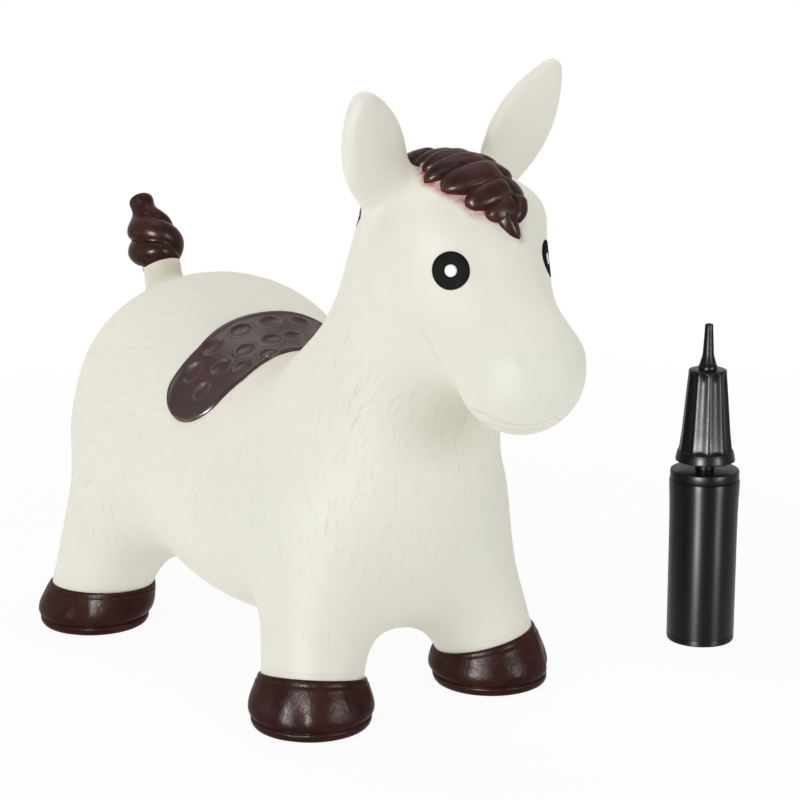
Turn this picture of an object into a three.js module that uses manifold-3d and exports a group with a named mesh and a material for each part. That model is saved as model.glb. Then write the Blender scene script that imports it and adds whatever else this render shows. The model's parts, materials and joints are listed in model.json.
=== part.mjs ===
// Inflatable animal hopper: a hollow donkey skin moulded from soft vinyl, with hooves, saddle, mane, tail
// and eyes of its own, a stopper valve in the belly, and the hand pump that fills it.
// Millimetres. X runs forward to the muzzle, Y to the animal's left and Z up from the floor.
import * as THREE from 'three';
import { mergeVertices } from 'three/addons/utils/BufferGeometryUtils.js';
import Module from 'manifold-3d';

const wasm = await Module();
wasm.setup();

// Driving dimensions: clearance between touching pieces, skin wall, facet size, softness of the joins
const GAP = 0.3;
const SKIN_WALL = 2.4;
const FACET = 26;
const SWELL = 46;
const LIMB_SWELL = 36;

// Forms that swell together into the skin: centres, sizes and radii
const RUMP = { x: -132, z: 190, length: 228, width: 242, height: 212 };
const BARREL = { x: -6, z: 142, length: 330, width: 230, height: 206 };
const CHEST = { x: 100, z: 164, length: 180, width: 188, height: 216 };
const NECK = { baseX: 122, baseZ: 230, baseRadius: 74, topX: 182, topZ: 344, topRadius: 60 };
const SKULL = { x: 196, z: 358, length: 118, width: 104, height: 130 };
const BROW = { x: 226, z: 388, length: 56, width: 110, height: 52 };
const MUZZLE = { baseX: 234, baseZ: 330, baseRadius: 41, tipX: 279, tipZ: 288, tipRadius: 46 };
const FRONT_LEG = { hipX: 108, hipY: 56, hipZ: 140, hipRadius: 46, footX: 137, footY: 85, footRadius: 38 };
const REAR_LEG = { hipX: -136, hipY: 70, hipZ: 150, hipRadius: 56, footX: -174, footY: 102, footRadius: 38 };
const ANKLE_HEIGHT = 20;

// Seams where the skin divides into body, neck, head and limbs
const WAIST_X = 0;
const NECK_SEAM_RISE = 30;
const HEAD_SEAM_SETBACK = 32;
const HEAD_SEAM_TILT = 21;
const LIMB_SEAM_MARGIN = 8;
const LIMB_SEAM_INNER = 14;

// Hooves: a sole band under a groove, swelling walls and a coronet that rises to the front and outside
const HOOF_HEIGHT = 36;
const HOOF_SOLE_RADIUS = 45.5;
const HOOF_SOLE_THICKNESS = 4;
const HOOF_SOLE_EDGE = 1.5;
const HOOF_BAND = 8;
const HOOF_GROOVE = 1.4;
const HOOF_BULGE = 3;
const HOOF_LIP = 1.6;
const HOOF_WALL = 3;
const CORONET_FRONT_SLOPE = 0.16;
const CORONET_SIDE_SLOPE = 0.18;

// Ears: their roots seen from the middle of the skull, and their reach from root to tip
const EAR_ROOT = { behind: 14, aside: 48, above: 46 };
const EAR_REACH = {
  right: { ahead: 24, aside: 38, above: 77 },
  left: { ahead: 25, aside: 40, above: 93 },
};
const EAR_WIDTH = 54;
const EAR_TOE_IN = 8;
const EAR_THICKNESS = 13;
const EAR_WALL = 2;
const EAR_SINK = 22;

// Tail: a short dock and a twisted tuft
const TAIL_RISE = 39;
const DOCK_LENGTH = 34;
const DOCK_RADIUS = 15.5;
const DOCK_LEAN = 12;
const DOCK_WALL = 2.4;
const TUFT_LENGTH = 66;
const TUFT_RADIUS = 24;
const TUFT_LEAN = 33;
const TUFT_LOBES = 3;
const TUFT_LOBE_DEPTH = 0.11;
const TUFT_TURN = 250;
const TUFT_WALL = 4;

// Raised layers on the skin
const SADDLE_X = -33;
const SADDLE_WIDTH = 52;
const SADDLE_FLAP_Z = 203;
const SADDLE_THICKNESS = 2.2;
const MANE_WIDTH = 74;
const MANE_THICKNESS = 5;
const MANE_LOW = 60;
const MANE_HIGH = 188;
const FORELOCK_LOCKS = 6;
const FORELOCK_WIDTH = 66;
const FORELOCK_THICKNESS = 10;
const FORELOCK_ROLL = 34;
const FORELOCK_NARROWING = 0.55;
const FORELOCK_SKEW = 22;
const FORELOCK_BACK_ANGLE = 104;
const FORELOCK_FRONT_ANGLE = 28;
const EYE_AHEAD = 58;
const EYE_ABOVE = 1;
const EYE_DIAMETER = 27;
const EYE_DOT_DIAMETER = 8.6;
const EYE_THICKNESS = 0.8;

// Stopper valve in the belly
const VALVE_X = -40;
const VALVE_SEAT_RADIUS = 15;
const VALVE_SEAT_DEPTH = 12;
const VALVE_SEAT_PROUD = 1.2;
const VALVE_BORE_RADIUS = 4.8;
const PLUG_HEAD_RADIUS = 9;
const PLUG_HEAD_THICKNESS = 2.4;
const PLUG_STEM_LENGTH = 13;
const PLUG_TAB_WIDTH = 9;
const PLUG_TAB_THICKNESS = 3;
const PLUG_TAB_HEIGHT = 6;

// Hand pump, standing beside the animal
const PUMP_X = 160;
const PUMP_CLEARANCE = 150;
const BARREL_HEIGHT = 138;
const BARREL_TOP_RADIUS = 29;
const BARREL_FOOT_RADIUS = 27.8;
const BARREL_BORE_RADIUS = 26;
const BARREL_FLOOR = 2.5;
const COLLAR_HEIGHT = 8;
const COLLAR_RADIUS = 28.4;
const COLLAR_SPIGOT = 6;
const COLLAR_CHAMFER = 1;
const ROD_RADIUS = 7.7;
const ROD_BORE_RADIUS = 3;
const ROD_SHOWING = 7.4;
const PISTON_THICKNESS = 10;
const SEAL_SECTION = 3;
const SEAL_CLEARANCE = 0.15;
const FLAP_RADIUS = 7;
const FLAP_THICKNESS = 1.2;
const GRIP_HEIGHT = 76;
const GRIP_TOP_RADIUS = 15.8;
const GRIP_SHOULDER_RADIUS = 21.5;
const GRIP_SKIRT_RADIUS = 24.5;
const GRIP_SKIRT_HEIGHT = 8;
const GRIP_FLUTES = 10;
const GRIP_FLUTE_DEPTH = 1.3;
const GRIP_WALL = 2.4;
const GRIP_SOCKET = 40;
const GRIP_EDGE = 1;
const NOZZLE_LENGTH = 37.5;
const NOZZLE_BASE_RADIUS = 7.8;
const NOZZLE_NECK_RADIUS = 4.6;
const NOZZLE_TIP_RADIUS = 3.3;
const NOZZLE_FLARE = 12;
const NOZZLE_RIM = 4;
const NOZZLE_RIM_STEP = 1;
const NOZZLE_BORE_RADIUS = 1.6;

// Facet counts of round pieces
const HOOF_SIDES = 20;
const SEAM_SIDES = 8;
const EAR_SIDES = 12;
const TAIL_SIDES = 15;
const PUMP_SIDES = 24;
const SMALL_SIDES = 16;

const UP = new THREE.Vector3(0, 0, 1);
const FORWARD = new THREE.Vector3(1, 0, 0);
const SPAN = 2000;

const radians = THREE.MathUtils.degToRad;
const lerp = THREE.MathUtils.lerp;
const vec = (x, y, z) => new THREE.Vector3(x, y, z);

// Solids: closed geometry in, cut and joined solids out
function solidOf(geometry) {
  const bare = geometry.clone();
  bare.deleteAttribute('normal');
  bare.deleteAttribute('uv');
  const merged = mergeVertices(bare);
  const corners = merged.index.array;
  const kept = [];
  for (let i = 0; i < corners.length; i += 3) {
    const [a, b, c] = corners.slice(i, i + 3);
    if (a !== b && b !== c && c !== a) {
      kept.push(a, b, c);
    }
  }
  const vertProperties = new Float32Array(merged.attributes.position.array);
  return new wasm.Manifold(new wasm.Mesh({ numProp: 3, vertProperties, triVerts: new Uint32Array(kept) }));
}

// Corners that a cut leaves almost on each other become one, and the slivers between them go
const WELD = 0.02;

function geometryOf(solid) {
  const { vertProperties, triVerts } = solid.getMesh();
  const points = [];
  const pointOf = [];
  for (let i = 0; i < vertProperties.length; i += 3) {
    const p = vec(...vertProperties.slice(i, i + 3));
    const known = points.findIndex((q) => q.distanceTo(p) < WELD);
    pointOf.push(known < 0 ? points.push(p) - 1 : known);
  }
  const faces = new Map();
  for (let i = 0; i < triVerts.length; i += 3) {
    const face = [...triVerts.slice(i, i + 3)].map((corner) => pointOf[corner]);
    const key = [...face].sort().join();
    if (new Set(face).size === 3 && !faces.delete(key)) {
      faces.set(key, face);
    }
  }
  return new THREE.BufferGeometry().setFromPoints(points).setIndex([...faces.values()].flat());
}

// Everything on one side of a plane
function half(point, direction) {
  const block = new THREE.BoxGeometry(SPAN, SPAN, SPAN).translate(0, 0, SPAN / 2);
  block.applyQuaternion(new THREE.Quaternion().setFromUnitVectors(UP, direction.clone().normalize()));
  return solidOf(block.translate(point.x, point.y, point.z));
}

// A closed skin over rings of equally many points, each ring counter-clockwise seen from the last one
function loft(rings) {
  const sides = rings[0].length;
  const points = rings.flat();
  const middle = (ring) => ring.reduce((sum, p) => sum.add(p), vec(0, 0, 0)).divideScalar(sides);
  const first = points.push(middle(rings[0])) - 1;
  const last = points.push(middle(rings[rings.length - 1])) - 1;
  const top = (rings.length - 1) * sides;
  const corners = [];
  for (let i = 0; i < sides; i += 1) {
    const next = (i + 1) % sides;
    for (let base = 0; base < top; base += sides) {
      corners.push(base + i, base + next, base + sides + next);
      corners.push(base + i, base + sides + next, base + sides + i);
    }
    corners.push(first, next, i, last, top + i, top + next);
  }
  return solidOf(new THREE.BufferGeometry().setFromPoints(points).setIndex(corners));
}

// A turned solid about a vertical axis, from radius and height pairs that run upwards on the outside
function turned(profile, sides = PUMP_SIDES) {
  const outline = profile.map(([radius, height]) => new THREE.Vector2(radius, height));
  return solidOf(new THREE.LatheGeometry(outline, sides).rotateX(Math.PI / 2));
}

// A side outline drawn in X and Z, carried a long way to the right
function extruded(outline, curveSegments) {
  const geometry = new THREE.ExtrudeGeometry(outline, { depth: SPAN, bevelEnabled: false, curveSegments });
  return geometry.rotateX(Math.PI / 2);
}

// A round bar along any direction from a point
function bar(from, direction, radius, length, sides = SMALL_SIDES) {
  const geometry = new THREE.CylinderGeometry(radius, radius, length, sides).translate(0, length / 2, 0);
  geometry.applyQuaternion(new THREE.Quaternion().setFromUnitVectors(THREE.Object3D.DEFAULT_UP, direction));
  return solidOf(geometry.translate(from.x, from.y, from.z));
}

// Signed distances of the forms, negative inside
function blend(a, b, radius) {
  const overlap = Math.max(radius - Math.abs(a - b), 0) / radius;
  return Math.min(a, b) - (overlap * overlap * radius) / 4;
}

function ellipsoid(form, p) {
  const [rx, ry, rz] = [form.length / 2, form.width / 2, form.height / 2];
  const [dx, dy, dz] = [p.x - form.x, p.y, p.z - form.z];
  const scaled = Math.hypot(dx / rx, dy / ry, dz / rz);
  const slope = Math.hypot(dx / rx ** 2, dy / ry ** 2, dz / rz ** 2);
  return slope === 0 ? -Math.min(rx, ry, rz) : (scaled * (scaled - 1)) / slope;
}

const segment = new THREE.Line3();
const nearest = new THREE.Vector3();

function taper(from, to, fromRadius, toRadius, p) {
  segment.set(from, to);
  const along = segment.closestPointToPointParameter(p, true);
  segment.at(along, nearest);
  return p.distanceTo(nearest) - lerp(fromRadius, toRadius, along);
}

const neckBase = vec(NECK.baseX, 0, NECK.baseZ);
const neckTop = vec(NECK.topX, 0, NECK.topZ);
const muzzleBase = vec(MUZZLE.baseX, 0, MUZZLE.baseZ);
const muzzleTip = vec(MUZZLE.tipX, 0, MUZZLE.tipZ);
const SIDES = { right: -1, left: 1 };
const limbs = Object.entries({ front: FRONT_LEG, rear: REAR_LEG }).flatMap(([end, leg]) =>
  Object.entries(SIDES).map(([sideName, side]) => ({
    name: `${end}_${sideName}`,
    leg,
    side,
    hip: vec(leg.hipX, side * leg.hipY, leg.hipZ),
    ankle: vec(leg.footX, side * leg.footY, ANKLE_HEIGHT),
  })),
);

function skinField(p) {
  const forms = [RUMP, BARREL, CHEST].map((form) => ellipsoid(form, p));
  forms.push(taper(neckBase, neckTop, NECK.baseRadius, NECK.topRadius, p));
  const face = taper(muzzleBase, muzzleTip, MUZZLE.baseRadius, MUZZLE.tipRadius, p);
  const head = blend(blend(ellipsoid(SKULL, p), face, SWELL), ellipsoid(BROW, p), SWELL / 2);
  const trunk = [...forms, head].reduce((a, b) => blend(a, b, SWELL));
  const legs = limbs.map(({ leg, hip, ankle }) => taper(hip, ankle, leg.hipRadius, leg.footRadius, p));
  return legs.reduce((a, b) => blend(a, b, LIMB_SWELL), trunk);
}

const SLOPE_STEP = 0.5;

function slopeOf(field, p) {
  const slope = vec(0, 0, 0);
  for (const axis of ['x', 'y', 'z']) {
    const ahead = p.clone();
    const behind = p.clone();
    ahead[axis] += SLOPE_STEP;
    behind[axis] -= SLOPE_STEP;
    slope[axis] = (field(ahead) - field(behind)) / (2 * SLOPE_STEP);
  }
  return slope;
}

const SETTLE_STEPS = 4;

function settle(field, p) {
  for (let i = 0; i < SETTLE_STEPS; i += 1) {
    const slope = slopeOf(field, p);
    p.addScaledVector(slope, -field(p) / slope.lengthSq());
  }
  return p;
}

// Walks out of the skin along a direction and returns the point where it comes through
const WALK_STEP = 2;
const HALVINGS = 24;

function through(from, direction) {
  const heading = direction.clone().normalize();
  const at = (distance) => from.clone().addScaledVector(heading, distance);
  let inside = 0;
  while (inside < SPAN && skinField(at(inside + WALK_STEP)) < 0) {
    inside += WALK_STEP;
  }
  let outside = inside + WALK_STEP;
  for (let i = 0; i < HALVINGS; i += 1) {
    const middle = (inside + outside) / 2;
    if (skinField(at(middle)) < 0) {
      inside = middle;
    } else {
      outside = middle;
    }
  }
  return at(inside);
}

// Facets over the zero surface of a field: one point in each lattice cell that the surface crosses.
// Where a side of a cell is crossed twice its facets would touch, so the lattice then moves a little.
function* lattice(start, end) {
  for (let i = start; i < end[0]; i += 1) {
    for (let j = start; j < end[1]; j += 1) {
      for (let k = start; k < end[2]; k += 1) {
        yield [i, j, k];
      }
    }
  }
}

const AXES = [0, 1, 2];
const RING = [[0, 0], [1, 0], [1, 1], [0, 1]];
const LATTICE_STEP = vec(0.17, 0, 0.17);
const moved = (cell, axis, amount) => cell.map((value, i) => (i === axis ? value + amount : value));

function facets(field, low, high, size) {
  const counts = high.clone().sub(low).divideScalar(size).ceil().addScalar(1).toArray();
  const key = ([i, j, k]) => (i * counts[1] + j) * counts[2] + k;
  const place = (cell) => vec(...cell).multiplyScalar(size).add(low);
  const values = [];
  for (const cell of lattice(0, counts)) {
    values[key(cell)] = field(place(cell));
  }
  const inside = (cell) => values[key(cell)] < 0;
  const around = (cell, axis, sign) => RING.map(([u, v]) =>
    moved(moved(cell, (axis + 1) % 3, sign * u), (axis + 2) % 3, sign * v));
  const crossedTwice = (cell) => AXES.some((axis) => {
    const [a, b, c, d] = around(cell, axis, 1).map(inside);
    return a === c && b === d && a !== b;
  });
  if ([...lattice(0, counts.map((count) => count - 1))].some(crossedTwice)) {
    return facets(field, low.clone().addScaledVector(LATTICE_STEP, -size), high, size);
  }
  const points = [];
  const pointIn = new Map();
  const pointOf = (cell) => {
    if (!pointIn.has(key(cell))) {
      const crossings = [];
      for (const axis of AXES) {
        for (const from of around(cell, axis, 1)) {
          const to = moved(from, axis, 1);
          if (inside(from) !== inside(to)) {
            const share = values[key(from)] / (values[key(from)] - values[key(to)]);
            crossings.push(place(from).lerp(place(to), share));
          }
        }
      }
      const sum = crossings.reduce((total, p) => total.add(p), vec(0, 0, 0));
      pointIn.set(key(cell), points.push(settle(field, sum.divideScalar(crossings.length))) - 1);
    }
    return pointIn.get(key(cell));
  };
  const corners = [];
  for (const cell of lattice(1, counts.map((count) => count - 1))) {
    for (const axis of AXES) {
      if (inside(cell) !== inside(moved(cell, axis, 1))) {
        const ring = around(cell, axis, -1).map(pointOf);
        const [a, b, c, d] = inside(cell) ? ring : ring.reverse();
        corners.push(a, b, c, a, c, d);
      }
    }
  }
  return { points, corners };
}

// The lattice is centred on the animal's middle plane, so that both sides get like facets
function latticeBox() {
  const box = new THREE.Box3();
  for (const form of [RUMP, BARREL, CHEST, SKULL, BROW]) {
    const size = vec(form.length, form.width, form.height);
    box.union(new THREE.Box3().setFromCenterAndSize(vec(form.x, 0, form.z), size));
  }
  const balls = [[neckBase, NECK.baseRadius], [neckTop, NECK.topRadius], [muzzleTip, MUZZLE.tipRadius]];
  for (const { leg, hip, ankle } of limbs) {
    balls.push([hip, leg.hipRadius], [ankle, leg.footRadius]);
  }
  for (const [centre, radius] of balls) {
    box.union(new THREE.Sphere(centre, radius).getBoundingBox(new THREE.Box3()));
  }
  box.expandByScalar(SWELL / 2 + FACET);
  box.min.y = Math.floor(box.min.y / FACET) * FACET;
  box.max.y = -box.min.y;
  return box;
}

const { min: latticeLow, max: latticeHigh } = latticeBox();
const skin = facets(skinField, latticeLow, latticeHigh, FACET);
const skinNormals = skin.points.map((p) => slopeOf(skinField, p).normalize());
const skinBox = new THREE.Box3().setFromPoints(skin.points);

// The solid inside the skin, grown or shrunk by an offset
function bodyAt(offset) {
  const points = skin.points.map((p, i) => p.clone().addScaledVector(skinNormals[i], offset));
  return solidOf(new THREE.BufferGeometry().setFromPoints(points).setIndex(skin.corners));
}

const clearBody = bodyAt(GAP);
const layer = (thickness) => bodyAt(GAP + thickness).subtract(clearBody);

// Pieces go into the model one by one, each with its own finish
const hopper = new THREE.Group();
const pump = new THREE.Group();
const VINYL = { color: 0xe6e4d8, roughness: 0.62 };
const BROWN = { color: 0x3a211d, roughness: 0.42 };
const EYE_BLACK = { color: 0x0b0a09, roughness: 0.4 };
const EYE_WHITE = { color: 0xd9d8d4, roughness: 0.45 };
const VALVE_WHITE = { color: 0xdedbcf, roughness: 0.5 };
const PUMP_GLOSS = { color: 0x131315, roughness: 0.22 };
const PUMP_SATIN = { color: 0x1a1a1c, roughness: 0.42 };
const PUMP_RUBBER = { color: 0x101010, roughness: 0.8 };

function place(group, name, solid, finish) {
  const mesh = new THREE.Mesh(geometryOf(solid), new THREE.MeshStandardMaterial({ ...finish, metalness: 0 }));
  mesh.name = name;
  group.add(mesh);
}

// Coronets: where each leg skin ends and its hoof begins
function coronetOf({ side, hip, ankle }) {
  const axis = hip.clone().sub(ankle);
  const centre = ankle.clone().addScaledVector(axis, (HOOF_HEIGHT - ANKLE_HEIGHT) / axis.z);
  const normal = vec(-CORONET_FRONT_SLOPE, -side * CORONET_SIDE_SLOPE, 1).normalize();
  return { centre, normal };
}

// A limb's patch of skin: a round-topped outline seen from the side, out from a line under the belly
function limbRegion({ leg, side, hip, ankle }, clearance) {
  const radius = leg.hipRadius + LIMB_SEAM_MARGIN + clearance;
  const drop = hip.distanceTo(ankle) + HOOF_HEIGHT;
  const outline = new THREE.Shape().absarc(0, 0, radius, 0, Math.PI);
  outline.lineTo(-radius, -drop);
  outline.lineTo(radius, -drop);
  const block = extruded(outline, SEAM_SIDES);
  block.rotateY(Math.atan2(hip.x - ankle.x, hip.z - ankle.z));
  const inner = LIMB_SEAM_INNER - clearance;
  return solidOf(block.translate(hip.x, side < 0 ? -inner : inner + SPAN, hip.z));
}

function addSkin() {
  const shell = bodyAt(0).subtract(bodyAt(-SKIN_WALL));
  const neckAxis = neckTop.clone().sub(neckBase).normalize();
  const neckRoot = neckBase.clone().addScaledVector(neckAxis, NECK_SEAM_RISE);
  const headAxis = vec(Math.cos(radians(HEAD_SEAM_TILT)), 0, Math.sin(radians(HEAD_SEAM_TILT)));
  const poll = vec(SKULL.x, 0, SKULL.z).addScaledVector(headAxis, -HEAD_SEAM_SETBACK);
  const beyond = (point, axis, distance) => half(point.clone().addScaledVector(axis, distance), axis);
  const waist = vec(WAIST_X, 0, 0);
  const behindWaist = FORWARD.clone().negate();

  const torso = limbs.reduce((rest, limb) => rest.subtract(limbRegion(limb, GAP)), shell);
  const belly = valvePoint();
  const below = belly.clone().addScaledVector(UP, -VALVE_SEAT_DEPTH);
  const valveHole = bar(below, UP, VALVE_SEAT_RADIUS + GAP, VALVE_SEAT_DEPTH * 2);
  const hind = torso.intersect(beyond(waist, behindWaist, GAP / 2)).subtract(valveHole);
  const aheadOfWaist = torso.intersect(beyond(waist, FORWARD, GAP / 2));
  const fore = aheadOfWaist.subtract(beyond(neckRoot, neckAxis, -GAP / 2));
  const aboveNeckRoot = shell.intersect(beyond(neckRoot, neckAxis, GAP / 2));
  const neck = aboveNeckRoot.subtract(beyond(poll, headAxis, -GAP / 2));
  const head = aboveNeckRoot.intersect(beyond(poll, headAxis, GAP / 2));
  place(hopper, 'hindquarter_skin', hind, VINYL);
  place(hopper, 'forequarter_skin', fore, VINYL);
  place(hopper, 'neck_skin', neck, VINYL);
  place(hopper, 'head_skin', head, VINYL);
  for (const limb of limbs) {
    const { centre, normal } = coronetOf(limb);
    const leg = shell.intersect(limbRegion(limb, 0)).intersect(beyond(centre, normal, GAP));
    place(hopper, `${limb.name}_leg_skin`, leg, VINYL);
  }
}

// A hoof is a cup: its rim lies on the coronet and its flat sole on the floor
const HOOF_LOW_WALL = 0.3;
const HOOF_HIGH_WALL = 0.65;

function addHoof(limb) {
  const { side, ankle } = limb;
  const { centre } = coronetOf(limb);
  const turn = Array.from({ length: HOOF_SIDES }, (_, i) => (i / HOOF_SIDES) * Math.PI * 2);
  const outward = turn.map((angle) => vec(Math.cos(angle), Math.sin(angle), 0));
  const rise = (d) => CORONET_FRONT_SLOPE * d.x + CORONET_SIDE_SLOPE * side * d.y;
  const rim = outward.map((d) => {
    const along = vec(d.x, d.y, rise(d));
    return through(centre, along).addScaledVector(along, HOOF_LIP);
  });
  const flat = (radius, height) => outward.map((d) =>
    vec(ankle.x, ankle.y, height).addScaledVector(d, radius));
  const band = flat(HOOF_SOLE_RADIUS, HOOF_BAND + HOOF_GROOVE);
  const wall = (share) => rim.map((p, i) =>
    band[i].clone().lerp(p, share).addScaledVector(outward[i], HOOF_BULGE * 4 * share * (1 - share)));
  const outside = loft([
    flat(HOOF_SOLE_RADIUS - HOOF_SOLE_EDGE, 0),
    flat(HOOF_SOLE_RADIUS, HOOF_SOLE_EDGE),
    flat(HOOF_SOLE_RADIUS, HOOF_BAND - HOOF_GROOVE),
    flat(HOOF_SOLE_RADIUS - HOOF_GROOVE, HOOF_BAND),
    band,
    wall(HOOF_LOW_WALL),
    wall(HOOF_HIGH_WALL),
    rim,
  ]);
  const inset = (ring, distance) => ring.map((p, i) => p.clone().addScaledVector(outward[i], -distance));
  const above = inset(rim, HOOF_WALL).map((p) => p.addScaledVector(UP, HOOF_WALL));
  const inside = loft([
    flat(HOOF_SOLE_RADIUS - HOOF_WALL - HOOF_GROOVE, HOOF_SOLE_THICKNESS),
    inset(wall(HOOF_LOW_WALL), HOOF_WALL),
    inset(rim, HOOF_WALL),
    above,
  ]);
  place(hopper, `${limb.name}_hoof`, outside.subtract(inside), BROWN);
}

// An ear is a leaf, facing forward, hollow and open at its root on the head
const EAR_STATIONS = [0, 0.16, 0.34, 0.52, 0.7, 0.84, 0.94, 0.99];
const EAR_ROUNDNESS = 0.6;
const EAR_ROOT_PHASE = 0.2;
const earSwell = (share) => Math.sin(Math.PI * lerp(EAR_ROOT_PHASE, 1, share)) ** EAR_ROUNDNESS;

function earSolid(side, growth) {
  const root = vec(SKULL.x - EAR_ROOT.behind, side * EAR_ROOT.aside, SKULL.z + EAR_ROOT.above);
  const reach = side < 0 ? EAR_REACH.right : EAR_REACH.left;
  const tip = root.clone().add(vec(reach.ahead, side * reach.aside, reach.above));
  const axis = tip.clone().sub(root).normalize();
  const ahead = FORWARD.clone().applyAxisAngle(UP, -side * radians(EAR_TOE_IN));
  const facing = ahead.addScaledVector(axis, -ahead.dot(axis)).normalize();
  const across = facing.clone().cross(axis);
  const length = tip.distanceTo(root) + growth;
  const leaf = (distance, share) => Array.from({ length: EAR_SIDES }, (_, i) => {
    const angle = (i / EAR_SIDES) * Math.PI * 2;
    const halfWidth = Math.max((EAR_WIDTH / 2) * earSwell(share) + growth, GAP);
    const halfDepth = Math.max((EAR_THICKNESS / 2) * earSwell(share) + growth, GAP);
    return root.clone()
      .addScaledVector(axis, distance)
      .addScaledVector(across, halfWidth * Math.cos(angle))
      .addScaledVector(facing, halfDepth * Math.sin(angle));
  });
  const rings = EAR_STATIONS.map((share) => leaf(length * share, share));
  return loft([leaf(-EAR_SINK - Math.max(-growth, 0), 0), ...rings]);
}

function addEar(name, side) {
  const ear = earSolid(side, 0).subtract(earSolid(side, -EAR_WALL)).subtract(clearBody);
  place(hopper, `${name}_ear`, ear, VINYL);
}

// The tail's dock grows out of the rump, and the twisted tuft stands on it
const leaning = (angle) => vec(-Math.sin(radians(angle)), 0, Math.cos(radians(angle)));

function round(centre, axis, radiusAt) {
  const across = vec(0, 1, 0);
  const forward = across.clone().cross(axis);
  return Array.from({ length: TAIL_SIDES }, (_, i) => {
    const angle = (i / TAIL_SIDES) * Math.PI * 2;
    const radius = radiusAt(angle);
    return centre.clone()
      .addScaledVector(forward, radius * Math.cos(angle))
      .addScaledVector(across, radius * Math.sin(angle));
  });
}

const TUFT_STATIONS = [0, 0.12, 0.25, 0.38, 0.51, 0.64, 0.77, 0.88, 0.95, 0.99];
const TUFT_HOLLOW = TUFT_STATIONS.slice(0, -3);
const TUFT_SWELL = new THREE.SplineCurve([
  new THREE.Vector2(0, 0.68),
  new THREE.Vector2(0.25, 1),
  new THREE.Vector2(0.5, 0.95),
  new THREE.Vector2(0.75, 0.62),
  new THREE.Vector2(0.9, 0.52),
  new THREE.Vector2(1, 0.2),
]);

function addTail() {
  const up = radians(TAIL_RISE);
  const root = through(vec(RUMP.x, 0, RUMP.z), vec(-Math.cos(up), 0, Math.sin(up)));
  const dockAxis = leaning(DOCK_LEAN);
  const tuftAxis = leaning(TUFT_LEAN);
  const top = root.clone().addScaledVector(dockAxis, DOCK_LENGTH);
  const reach = DOCK_RADIUS * 2;
  const tube = (radius) => loft([-reach, DOCK_LENGTH + reach].map((distance) =>
    round(root.clone().addScaledVector(dockAxis, distance), dockAxis, () => radius)));
  const dock = tube(DOCK_RADIUS).subtract(tube(DOCK_RADIUS - DOCK_WALL));
  place(hopper, 'tail_dock', dock.subtract(half(top, tuftAxis)).subtract(clearBody), VINYL);

  const start = top.clone().addScaledVector(tuftAxis, GAP);
  const lobed = (share, inset) => {
    const radius = TUFT_SWELL.getPoint(share).y * TUFT_RADIUS;
    const twist = radians(TUFT_TURN) * share;
    const lobe = (angle) => 1 + TUFT_LOBE_DEPTH * Math.cos(TUFT_LOBES * (angle - twist));
    const centre = start.clone().addScaledVector(tuftAxis, TUFT_LENGTH * share);
    return round(centre, tuftAxis, (angle) => Math.max(radius * lobe(angle) - inset, GAP));
  };
  const outside = loft(TUFT_STATIONS.map((share) => lobed(share, 0)));
  const mouth = lobed(0, TUFT_WALL).map((p) => p.addScaledVector(tuftAxis, -TUFT_WALL));
  const hollow = loft([mouth, ...TUFT_HOLLOW.map((share) => lobed(share, TUFT_WALL))]);
  place(hopper, 'tail_tuft', outside.subtract(hollow), BROWN);
}

// The saddle lies over the back with a round flap down each side
function addSaddle() {
  const outline = new THREE.Shape();
  const radius = SADDLE_WIDTH / 2;
  outline.moveTo(SADDLE_X + radius, SPAN);
  outline.lineTo(SADDLE_X - radius, SPAN);
  outline.absarc(SADDLE_X, SADDLE_FLAP_Z + radius, radius, Math.PI, Math.PI * 2);
  const prism = extruded(outline, SEAM_SIDES).translate(0, SPAN / 2, 0);
  place(hopper, 'saddle', layer(SADDLE_THICKNESS).intersect(solidOf(prism)), BROWN);
}

// The mane lies along the back of the neck, and the forelock's rolls lie across the crown of the head
function addHair() {
  const neckAxis = neckTop.clone().sub(neckBase).normalize();
  const rear = vec(-neckAxis.z, 0, neckAxis.x);
  const ears = Object.values(SIDES).map((side) => earSolid(side, GAP));
  const clearOf = (solid, others) => others.reduce((rest, other) => rest.subtract(other), solid);
  const low = neckBase.clone().addScaledVector(neckAxis, MANE_LOW);
  const high = neckBase.clone().addScaledVector(neckAxis, MANE_HIGH);
  const strip = solidOf(new THREE.BoxGeometry(SPAN, MANE_WIDTH, SPAN));
  const mane = layer(MANE_THICKNESS)
    .intersect(strip)
    .intersect(half(neckBase, rear))
    .intersect(half(low, neckAxis))
    .subtract(half(high, neckAxis));
  place(hopper, 'mane', clearOf(mane, ears), BROWN);

  const crown = vec(SKULL.x, 0, SKULL.z);
  const rolls = Array.from({ length: FORELOCK_LOCKS }, (_, i) => {
    const share = i / (FORELOCK_LOCKS - 1);
    const angle = radians(lerp(FORELOCK_BACK_ANGLE, FORELOCK_FRONT_ANGLE, share));
    const direction = vec(Math.cos(angle), 0, Math.sin(angle));
    const seat = through(crown, direction);
    const width = FORELOCK_WIDTH * (1 - FORELOCK_NARROWING * share ** 2);
    const stretch = vec(FORELOCK_ROLL / 2, width / 2, FORELOCK_THICKNESS);
    const ball = new THREE.SphereGeometry(1, 10, 7).scale(...stretch.toArray());
    ball.rotateZ(radians(FORELOCK_SKEW)).rotateY(Math.PI / 2 - angle);
    return solidOf(ball.translate(seat.x, seat.y, seat.z));
  });
  const bunch = rolls.reduce((all, roll) => all.add(roll));
  const seam = half(high.clone().addScaledVector(neckAxis, GAP), neckAxis);
  place(hopper, 'forelock', clearOf(bunch.intersect(seam), [clearBody, ...ears]), BROWN);
}

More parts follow.
